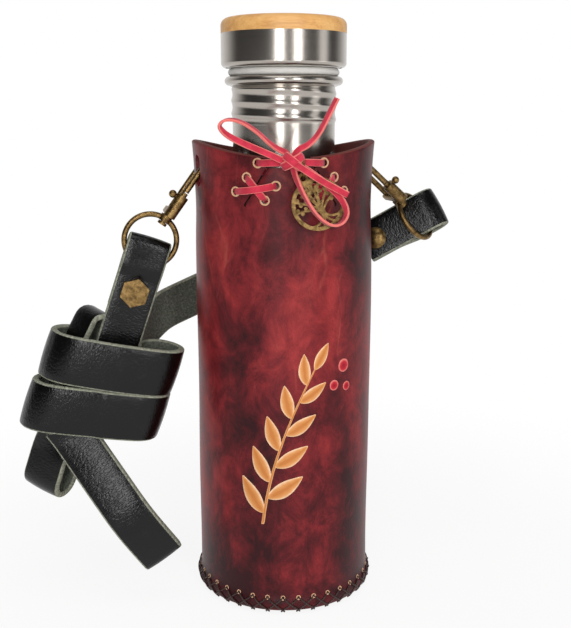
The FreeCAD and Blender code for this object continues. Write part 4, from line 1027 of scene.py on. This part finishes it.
def turn_route(place, start_back, start_aside):
    """One turn at a place down the hank: back, left end, front, right end, back."""
    corners = [(place, start_back, start_aside), (place, start_back, -TURN_END),
               (place, TURN_FRONT, -TURN_END), (place, TURN_FRONT, TURN_END),
               (place, TURN_BACK, TURN_END), (place, TURN_BACK, CROSSING)]
    left, right = ((end - TURN_FRONT) / 2 - ARC_SLACK for end in (start_back, TURN_BACK))
    return rounded_route(corners, [left, left, right, right], 14)


two_turns = np.vstack([turn_route(UPPER, ENTRY_BACK, ENTRY_ASIDE),
                       turn_route(LOWER, TURN_BACK, -CROSSING)])
winding_route = smoothed(resample(two_turns, 1.5), 6)
down, back, aside = winding_route.T
back -= (back < TURN_FRONT / 2) * BULGE * np.clip(1 - (aside / TURN_END) ** 2, 0.0, 1.0)
down -= LEVEL * aside
lower_share = rising(down, UPPER, LOWER - UPPER)
down -= lower_share * (aside * LOWER_LEVEL + LOWER_RISE)
aside -= lower_share * LOWER_OUT * (aside < 0)
winding = Piece("hank_winding_leather")
strap_band(winding, hank(winding_route), left_down, -1.0, WINDING_WIDE)
rise_route = rounded_route([(58.0, 2.0, -20.0), (38.0, 2.5, -17.0), (37.0, 4.5, -9.0), (56.0, 5.0, -10.0)],
                           [4.6, 3.2])
strap_band(winding, hank(rise_route), left_back - RISE_TURN * left_aside, 1.0, RISE_WIDE)
winding.build("left_strap", "strap_leather", STRAP_SHARP, node="hank_winding")

# %% [markdown]
# ## Bights
# The tail bight is two layers that leave the winding at an angle. It tilts out towards the viewer and back
# again; the sum of the slope along it says how far. The side bight hangs beside it and turns about its own
# line as it goes down, so that its edge shows at the front.

# %% Bights
TAIL_FOOT, TAIL_TURN, TAIL_LONG = np.array([89.8, 0.0, -13.4]), math.radians(52.6), 79.0
TAIL_BACK, TAIL_FRONT, TAIL_FOLD = -5.1, -8.6, 1.72
TILT_PLACES, TILT_DEGREES = [0.0, 4.0, 10.0, 44.0, 62.0, 82.0], [0.0, 2.0, 18.0, 18.0, -8.0, -10.0]
tail_along = np.array([math.cos(TAIL_TURN), 0.0, math.sin(TAIL_TURN)])
tail_across = np.array([-math.sin(TAIL_TURN), 0.0, math.cos(TAIL_TURN)])
tail_flat = resample(rounded_route([(0, TAIL_BACK, 0), (TAIL_LONG, TAIL_BACK, 0), (TAIL_LONG, TAIL_FRONT, 0),
                                    (0, TAIL_FRONT, 0)], [TAIL_FOLD, TAIL_FOLD]), 1.0)
tail_way, tail_step = np.linspace(0.0, TILT_PLACES[-1], 165, retstep=True)
tail_slope = np.tan(np.radians(np.interp(tail_way, TILT_PLACES, TILT_DEGREES)))
tail_out = np.interp(tail_flat[:, 0], tail_way, np.cumsum(tail_slope) * tail_step)
tail_route = TAIL_FOOT + tail_flat[:, :1] * tail_along
tail_route[:, 1] += tail_flat[:, 1] - tail_out
strap_piece("hank_tail_leather", "left_strap", "hank_tail_bight", hank(tail_route),
            hank(tail_across) - left_start, -1.0)

BIGHT_ASIDE, BIGHT_BACK, BIGHT_DEEP = -11.0, 5.4, 14.0 - LAYER
BIGHT_TURN, TURN_START, TURN_LONG = math.radians(36.0), 84.0, 26.0
bight_route = resample(rounded_route(
    [(67.8, -LAYER, BIGHT_ASIDE), (127.5, -LAYER, BIGHT_ASIDE), (127.5, BIGHT_DEEP, BIGHT_ASIDE),
     (103.0, BIGHT_DEEP, BIGHT_ASIDE), (91.0, BIGHT_BACK, BIGHT_ASIDE), (71.0, BIGHT_BACK, BIGHT_ASIDE)],
    [6.93, 6.93, 6.0, 6.0]), 1.3)
bight_share = rising(bight_route[:, :1], TURN_START, TURN_LONG)
bight_turn = BIGHT_TURN * bight_share ** 2 * (3 - 2 * bight_share)
bight_off = bight_route[:, 1:2] - BIGHT_BACK
bight_route[:, 1:2] = BIGHT_BACK + bight_off * np.cos(bight_turn)
bight_route[:, 2:] += bight_off * np.sin(bight_turn)
strap_piece("hank_side_leather", "left_strap", "hank_side_bight", hank(bight_route),
            left_aside * np.cos(bight_turn) - left_back * np.sin(bight_turn), 1.0)

# %% [markdown]
# ## Right tab and back run
# On the right the strap goes through the ring, makes a slack loop and comes back on itself; the rivet closes
# it. From there it passes behind the sleeve to the hank as one run, higher at the right. The run is two
# pieces that meet behind the sleeve.

# %% Right tab
RIGHT_EYE, RIGHT_RING, TAB_END, LOOP_END = np.array([67.274, 20.267, 179.543]), 1.2, 29.0, -12.0
RING_RADIUS, RING_WIRE, RING_CLEAR, LOOP_FLAT, LOOP_CLOSES = 12.0, 1.3, 0.4, 4.0, 13.5
LOOP_DEEP = RING_RADIUS + RING_WIRE + RING_CLEAR + STRAP_THICK / 2 - RIGHT_RING - LAYER
right_run = unit(np.array([-0.84, 0.2, -0.5]))
fold_level = np.array([0.5, -0.4, 0.0])
fold_way = unit(fold_level - UP * (fold_level @ right_run) / right_run[2])
right_back = unit(np.cross(fold_way, right_run))


def right_tab(points):
    """Points (along the run, back) of the right tab's frame in the object's frame."""
    places = np.asarray(points, dtype=float) @ np.stack([right_run, right_back])
    return RIGHT_EYE + right_back * (RIGHT_RING + LAYER) + places


loop_radius = (LOOP_DEEP + LAYER) / 2 - ARC_SLACK
loop_route = rounded_route([(TAB_END, -LAYER), (LOOP_END, -LAYER), (LOOP_END, LOOP_DEEP),
                            (LOOP_FLAT, LOOP_DEEP), (LOOP_CLOSES, LAYER), (TAB_END, LAYER)],
                           [loop_radius, loop_radius, 6.0, 6.0])
strap_piece("right_tab_leather", "right_strap", "right_tab", right_tab(loop_route), fold_way, -1.0, cut=False)

# %% Back run
RUN_RADIUS, RUN_LEAN, RUN_SLOPE, RUN_HIGH = 46.4, math.radians(26.8), math.radians(20.0), 155.0
RUN_LEFT, RUN_RIGHT, RUN_LEAVES, RUN_SPLIT = -60.0, 31.0, 17.0, 4.0
LEFT_BEND = np.array([[0.0, 0.0, 0.0], [2.6, 5.2, 5.6], [6.0, 11.6, 12.8]])
apex, lean = RUN_RADIUS / math.cos(RUN_LEAN), math.tan(RUN_LEAN)


def eased(start, start_way, end, end_way):
    """A cubic from one point and heading to another: the Hermite sum of both points and both headings."""
    way = np.linspace(0.0, 1.0, 20)[1:, None]
    reach = np.linalg.norm(end - start)
    return ((2 * way ** 3 - 3 * way ** 2 + 1) * start + (way ** 3 - 2 * way ** 2 + way) * reach * start_way
            + (3 * way ** 2 - 2 * way ** 3) * end + (way ** 3 - way ** 2) * reach * end_way)


behind = rounded_route([(RUN_LEFT, apex + RUN_LEFT * lean, 0), (0, apex, 0),
                        (RUN_RIGHT, apex - RUN_RIGHT * lean, 0)], [RUN_RADIUS], 24)
behind[:, 2] = RUN_HIGH + behind[:, 0] * math.tan(RUN_SLOPE)
behind_ahead = unit(np.gradient(behind, axis=0))
behind_out = unit(np.cross(UP, behind_ahead))
behind_across = np.cross(behind_out, behind_ahead)
hank_entry = hank(winding_route[0])
straight = resample(behind[behind[:, 0] < RUN_RIGHT], 1.0)
straight = straight[straight[:, 0] < RUN_LEAVES]
tab_end = right_tab((TAB_END, LAYER))
right_bend = eased(straight[-1], unit(straight[-1] - straight[-2]), tab_end, -right_run)
whole_run = smoothed(resample(np.vstack([hank_entry + LEFT_BEND, straight, right_bend]), 2.0), 6)
whole_across = between(np.linspace(0.0, 1.0, len(whole_run)), [0.0, 0.25, 0.75, 1.0],
                       np.array([left_down, behind_across[0], behind_across[-1], fold_way]))
split = int(np.argmin(np.abs(whole_run[:, 0] - RUN_SPLIT)))
left_half = Piece("strap_back_leather")
left_long = strap_band(left_half, whole_run[:split + 1], whole_across[:split + 1], 1.0, cut=False)
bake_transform(left_half.build(None, "strap_leather", STRAP_SHARP, node="strap_back_run"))
right_half = Piece("strap_right_leather")
strap_band(right_half, whole_run[split:], whole_across[split:], 1.0, start=left_long, cut=False)
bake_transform(right_half.build(None, "strap_leather", STRAP_SHARP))

# %% [markdown]
# ## Lace through the holes
# The flat suede lace crosses the slit on each side: it comes out of one hole, lies on the leather and goes
# into the next. A run is written in the sheet's own coordinates, side and height, and lifted to a radius, so
# that it hugs the sleeve; its ends dive through the wall.

# %% Lace through the holes
LACE_WIDE, LACE_THICK, LACE_CORNER, LACE_SPACING, BOW_WIDE = 3.1, 1.2, 0.35, 0.6, 2.8
LACE_LIFT, LACE_DIVE, DIVE_SHARE, INSIDE_RADIUS = 0.75, 2.6, 0.07, SLEEVE_RADIUS - LEATHER - 0.9
KNOT_HEIGHT, KNOT_SIDE, KNOT_RADIUS = 209.6, 2.6, 45.6
OVER_RISE, UNDER_RISE, HOLE_RIM, HOP_LIFT, HOP_DEEP = 1.9, 0.5, 1.6, 1.0, 2.0
HOP_BOW = np.array([0.0, -0.8, 0.2])


def on_wall(spot, radius):
    """A point (x, height) lifted to a radius at the front of the sleeve."""
    x, height = np.moveaxis(np.asarray(spot, dtype=float), -1, 0)
    return joined(x, -np.sqrt(radius ** 2 - x ** 2), height)


def lace_band(piece, path, across, spacing=LACE_SPACING, flip=1.0):
    band(piece, path, np.asarray(across), LACE_WIDE, LACE_THICK, LACE_CORNER, spacing, flip)


def lace_run(piece, first, last, rise):
    """A run from hole to hole: in through the wall at both ends, bowed outwards by rise between them."""
    share = np.linspace(0.0, 1.0, 17)
    flat = np.asarray(first) + (np.asarray(last) - np.asarray(first)) * share[:, None]
    dive = np.exp(-(share / DIVE_SHARE) ** 2) + np.exp(-((1 - share) / DIVE_SHARE) ** 2)
    radius = SLEEVE_RADIUS + LACE_LIFT + rise * np.sin(np.pi * share) ** 1.5 - LACE_DIVE * dive
    path = smoothed(on_wall(flat, radius), 2)
    outward = unit(path * np.array([1.0, 1.0, 0.0]))
    lace_band(piece, path, np.cross(outward, unit(np.gradient(path, axis=0))), flip=-1.0)


def hop_to_knot(piece, hole, side):
    """Out of the top hole, over its rim and across to the knot."""
    knot_side = on_wall((side * KNOT_SIDE, KNOT_HEIGHT), KNOT_RADIUS)
    over = on_wall((hole[0] - side * HOLE_RIM, hole[1]), SLEEVE_RADIUS + HOP_LIFT)
    middle = (over + knot_side) / 2 + HOP_BOW
    route = np.stack([on_wall(hole, SLEEVE_RADIUS - HOP_DEEP), over, middle, knot_side])
    lace_band(piece, smoothed(resample(route, 0.8), 5), (0.0, -0.15, 1.0), flip=float(side))


for side, name in ((-1, "left"), (1, "right")):
    top, second, third, tongue_top, tongue_low = hole_spots(side)
    lace = Piece("lace_%s_suede" % name)
    lace_run(lace, tongue_top, third, OVER_RISE)
    lace_run(lace, second, tongue_low, UNDER_RISE)
    hop_to_knot(lace, top, side)
    for first, last, across in ((top, tongue_top, (0.5, 0.0, 0.8)), (third, second, (0.8, 0.0, 0.5)),
                                (tongue_low, (0.0, tongue_low[1]), (0.0, 0.0, 1.0))):
        lace_band(lace, on_wall((first, last), INSIDE_RADIUS), across, 1.0)
    lace.build("sleeve", "suede_lace", node="lace_" + name)

# %% [markdown]
# ## Bow
# The bow's loops and tails are free lace. Each follows a smooth NURBS curve with the same control points as
# its CAD solid and its ends carried on into the knot. The curve is read back as points, and a flat strip is
# carried along it. The strip turns as lace does: `FACES` gives the direction of its width at even steps.

# %% Bow
BOW_FRONT, KNOT, TUCK = np.array([0.0, -SLEEVE_RADIUS, 210.2]), np.array([[0.0, -46.5, 210.2]]), 0.6
BOW_CORNER, BOW_SPACING = 0.4, 0.7
BOW = {
    "bow_left_loop": [
        (-3.9, -6.6, 0.2), (-8.0, -7.0, 2.2), (-13.7, -7.0, 4.6), (-21.9, -6.4, 8.0), (-28.0, -5.2, 11.2),
        (-30.8, -4.0, 14.8), (-27.6, -3.6, 17.4), (-21.6, -3.6, 16.6), (-14.8, -3.8, 12.4), (-9.6, -4.0, 7.4),
        (-5.6, -4.6, 4.8), (-2.4, -5.2, 3.6)],
    "bow_right_loop": [
        (4.1, -6.6, -2.2), (8.6, -9.0, -5.2), (15.0, -10.0, -10.0), (20.6, -10.0, -15.6), (23.0, -9.6, -21.4),
        (20.8, -9.2, -25.8), (16.2, -9.0, -27.0), (10.2, -8.8, -23.0), (5.4, -8.8, -15.6), (2.0, -8.6, -8.8),
        (0.4, -6.6, -3.8)],
    "bow_long_tail": [
        (1.6, -4.6, 4.6), (6.4, -5.0, 6.4), (10.6, -5.2, 10.6), (14.2, -5.0, 17.2), (18.5, -4.8, 25.8)],
    "bow_short_tail": [
        (0.8, -9.2, -0.8), (5.0, -11.8, -3.6), (11.0, -12.8, -7.4), (17.4, -12.8, -10.8),
        (22.4, -12.2, -13.4)],
}
FACES = {
    "bow_left_loop": [(0.3, -0.2, 1.0), (0.4, 0.1, 0.9), (0.3, 1.0, 0.1), (0.1, 0.9, 0.5), (0.2, 0.5, 0.9)],
    "bow_right_loop": [(0.5, -0.3, 0.9), (0.9, -0.2, 0.5), (0.3, -1.0, 0.0), (0.2, -1.0, 0.3),
                       (0.8, -0.6, 0.2)],
    "bow_long_tail": [(-0.4, 0.1, 1.0), (-0.6, 0.8, 0.3), (-0.5, 0.8, 0.3)],
    "bow_short_tail": [(0.5, 0.1, 0.9), (0.5, 0.1, 0.9), (0.5, -0.2, 0.8)],
}


def smooth_line(route):
    """Points of the NURBS curve of order 3 whose control points are the route, in mm."""
    curve = bpy.data.curves.new("route", "CURVE")
    curve.dimensions = "3D"
    curve.resolution_u = 16
    spline = curve.splines.new("NURBS")
    spline.points.add(len(route) - 1)
    for point, spot in zip(spline.points, route):
        point.co = (*(c * MM for c in spot), 1.0)
    spline.order_u = 3
    spline.use_endpoint_u = True
    holder = add_object("route", curve)
    mesh = bpy.data.meshes.new_from_object(holder.evaluated_get(bpy.context.evaluated_depsgraph_get()))
    points = np.empty(len(mesh.vertices) * 3)
    mesh.vertices.foreach_get("co", points)
    bpy.data.objects.remove(holder)
    return points.reshape(-1, 3) / MM


for name, steps in BOW.items():
    route = BOW_FRONT + np.array(steps)
    is_loop = "loop" in name
    ends_tucked = [route[:1] * (1 - TUCK) + KNOT * TUCK, route]
    if is_loop:
        ends_tucked.append(route[-1:] * (1 - TUCK) + KNOT * TUCK)
    line = smooth_line(np.vstack(ends_tucked))
    faces = np.array(FACES[name])
    across = between(np.linspace(0.0, 1.0, len(line)), np.linspace(0.0, 1.0, len(faces)), faces)
    strip = Piece(name + "_suede")
    long = band(strip, line, across, BOW_WIDE, LACE_THICK, BOW_CORNER, BOW_SPACING)
    made = strip.build("sleeve", "suede_lace", node=name)
    print(strip.name, "length", round(long, 1))

# %% Knot
KNOT_CENTRE, KNOT_TURNS = np.array([0.0, -47.6, 210.2]), ((0.5, 4.6, 3.0), (-0.65, 4.2, 3.4))
KNOT_WIDE, KNOT_THICK, KNOT_CORNER, KNOT_SPACING, KNOT_CROWN = 3.8, 1.4, 0.6, 0.5, 0.4


def knot_piece():
    """An overhand knot's lump: two flat turns of lace wrapped round each other, each a bowed closed band."""
    piece = Piece("bow_knot_suede")
    turn = np.linspace(0.0, 2 * np.pi, 40)
    for tilt, wide, deep in KNOT_TURNS:
        ring = joined(wide * np.cos(turn) * np.cos(tilt), deep * np.sin(turn),
                      wide * np.cos(turn) * np.sin(tilt))
        across = np.array([-math.sin(tilt), 0.0, math.cos(tilt)])
        band(piece, ring + KNOT_CENTRE, across, KNOT_WIDE, KNOT_THICK, KNOT_CORNER, KNOT_SPACING,
             crown=KNOT_CROWN)
    piece.build("sleeve", "suede_lace", node="bow_knot")


knot_piece()

# %% [markdown]
# ## Floor and light
# The photograph is a packshot: a white ground, a tall narrow light to the left and right of the camera, and
# weaker ones at the right and above. The white comes from the floor's and the world's own colour for camera
# rays, not from more light, so the colours of the object stay as they are written. Metal mirrors a room that
# is white behind the object and dim in front of it, which gives it dark and pale stripes.

# %% Floor and light
WORLD_STRENGTH, ROOM_DIM, ROOM_FRONT, ROOM_BACK = 0.3, 0.06, 0.1, 0.85
FLOOR_HALF, FLOOR_POINTS, FLOOR_LEVEL = 3000.0, 9, -0.2
SHADOW_NEAR, SHADOW_FAR, SHADOW_SHARE = 0.1, 0.34, 0.12


def white_when_seen(nodes, own, white, output, share=1.0):
    """Mix in white for rays from the camera and from glossy or clear surfaces, by a share of place."""
    seen = nodes.add("ShaderNodeLightPath", output="Is Camera Ray")
    for ray in ("Is Glossy Ray", "Is Transmission Ray"):
        seen = seen.most(nodes.add("ShaderNodeLightPath", output=ray))
    both = {0: seen * share, 1: Value(nodes, own.outputs[0]), 2: white}
    nodes.feed(output.inputs[0], nodes.add("ShaderNodeMixShader", None, both))


bpy.context.scene.view_settings.view_transform = "Standard"
world = bpy.data.worlds.new("studio")
bpy.context.scene.world = world
world.use_nodes = True
room = Nodes(world.node_tree)
sky = room.tree.nodes["Background"]
room.feed(sky.inputs["Color"], (255, 255, 255))
room.feed(sky.inputs["Strength"], WORLD_STRENGTH)
toward_back = room.split(room.add("ShaderNodeTexCoord", output="Generated"))[1]
room_strength = toward_back.step(ROOM_FRONT, ROOM_BACK, ROOM_DIM, 1.0)
room_strength = room_strength.most(room.add("ShaderNodeLightPath", output="Is Camera Ray"))
white_room = room.add("ShaderNodeBackground", None, {"Color": (255, 255, 255), "Strength": room_strength})
white_when_seen(room, sky, white_room, room.tree.nodes["World Output"])

ground = Finish("pale_floor")
mottle = ground.noise(ground.place(), 3.0, 3.0, 0.5)
ground.shade(Base_Color=ground.mix(mottle, (247, 247, 247), (250.5, 250.5, 250.5)), Roughness=0.7)
white_ground = ground.add("ShaderNodeEmission", None, {"Strength": 1.0})
from_centre = ground.add("ShaderNodeVectorMath", {"operation": "LENGTH"}, {0: ground.place()}, "Value")
white_share = from_centre.step(SHADOW_NEAR, SHADOW_FAR) * SHADOW_SHARE + (1 - SHADOW_SHARE)
white_when_seen(ground, ground.shader, white_ground, ground.tree.nodes["Material Output"], white_share)
floor_line = np.linspace(-FLOOR_HALF, FLOOR_HALF, FLOOR_POINTS)
floor_x, floor_y = np.meshgrid(floor_line, floor_line, indexing="ij")
floor_points = joined(floor_x, floor_y, FLOOR_LEVEL).reshape(-1, 3) * MM
floor_mesh = bpy.data.meshes.new("floor")
floor_mesh.from_pydata(floor_points.tolist(), [], grid_faces(FLOOR_POINTS, FLOOR_POINTS).tolist())
floor_mesh.materials.append(ground.material)
add_object("floor", floor_mesh)

# %% Lamps
LAMPS = {
    "left_front": ((-0.25, -1.18, 0.45), (0.0, 0.0, 0.15), 0.2, 0.8, 5.4),
    "right_front": ((0.43, -1.12, 0.45), (0.0, 0.0, 0.15), 0.16, 0.8, 4.4),
    "right_box": ((0.85, -0.3, 0.36), (0.0, 0.0, 0.13), 0.3, 0.8, 0.9),
    "top_box": ((-0.05, -0.3, 1.0), (0.0, 0.0, 0.12), 0.7, 0.5, 2.4),
}
for name, (place, target, wide, high, watts) in LAMPS.items():
    lamp = bpy.data.lights.new(name, "AREA")
    lamp.shape = "RECTANGLE"
    lamp.size = wide
    lamp.size_y = high
    lamp.energy = watts
    holder = add_object(name, lamp)
    holder.location = place
    x, y, z = np.subtract(target, place)
    holder.rotation_euler = (math.atan2(math.hypot(x, y), -z), 0.0, math.atan2(-x, y))
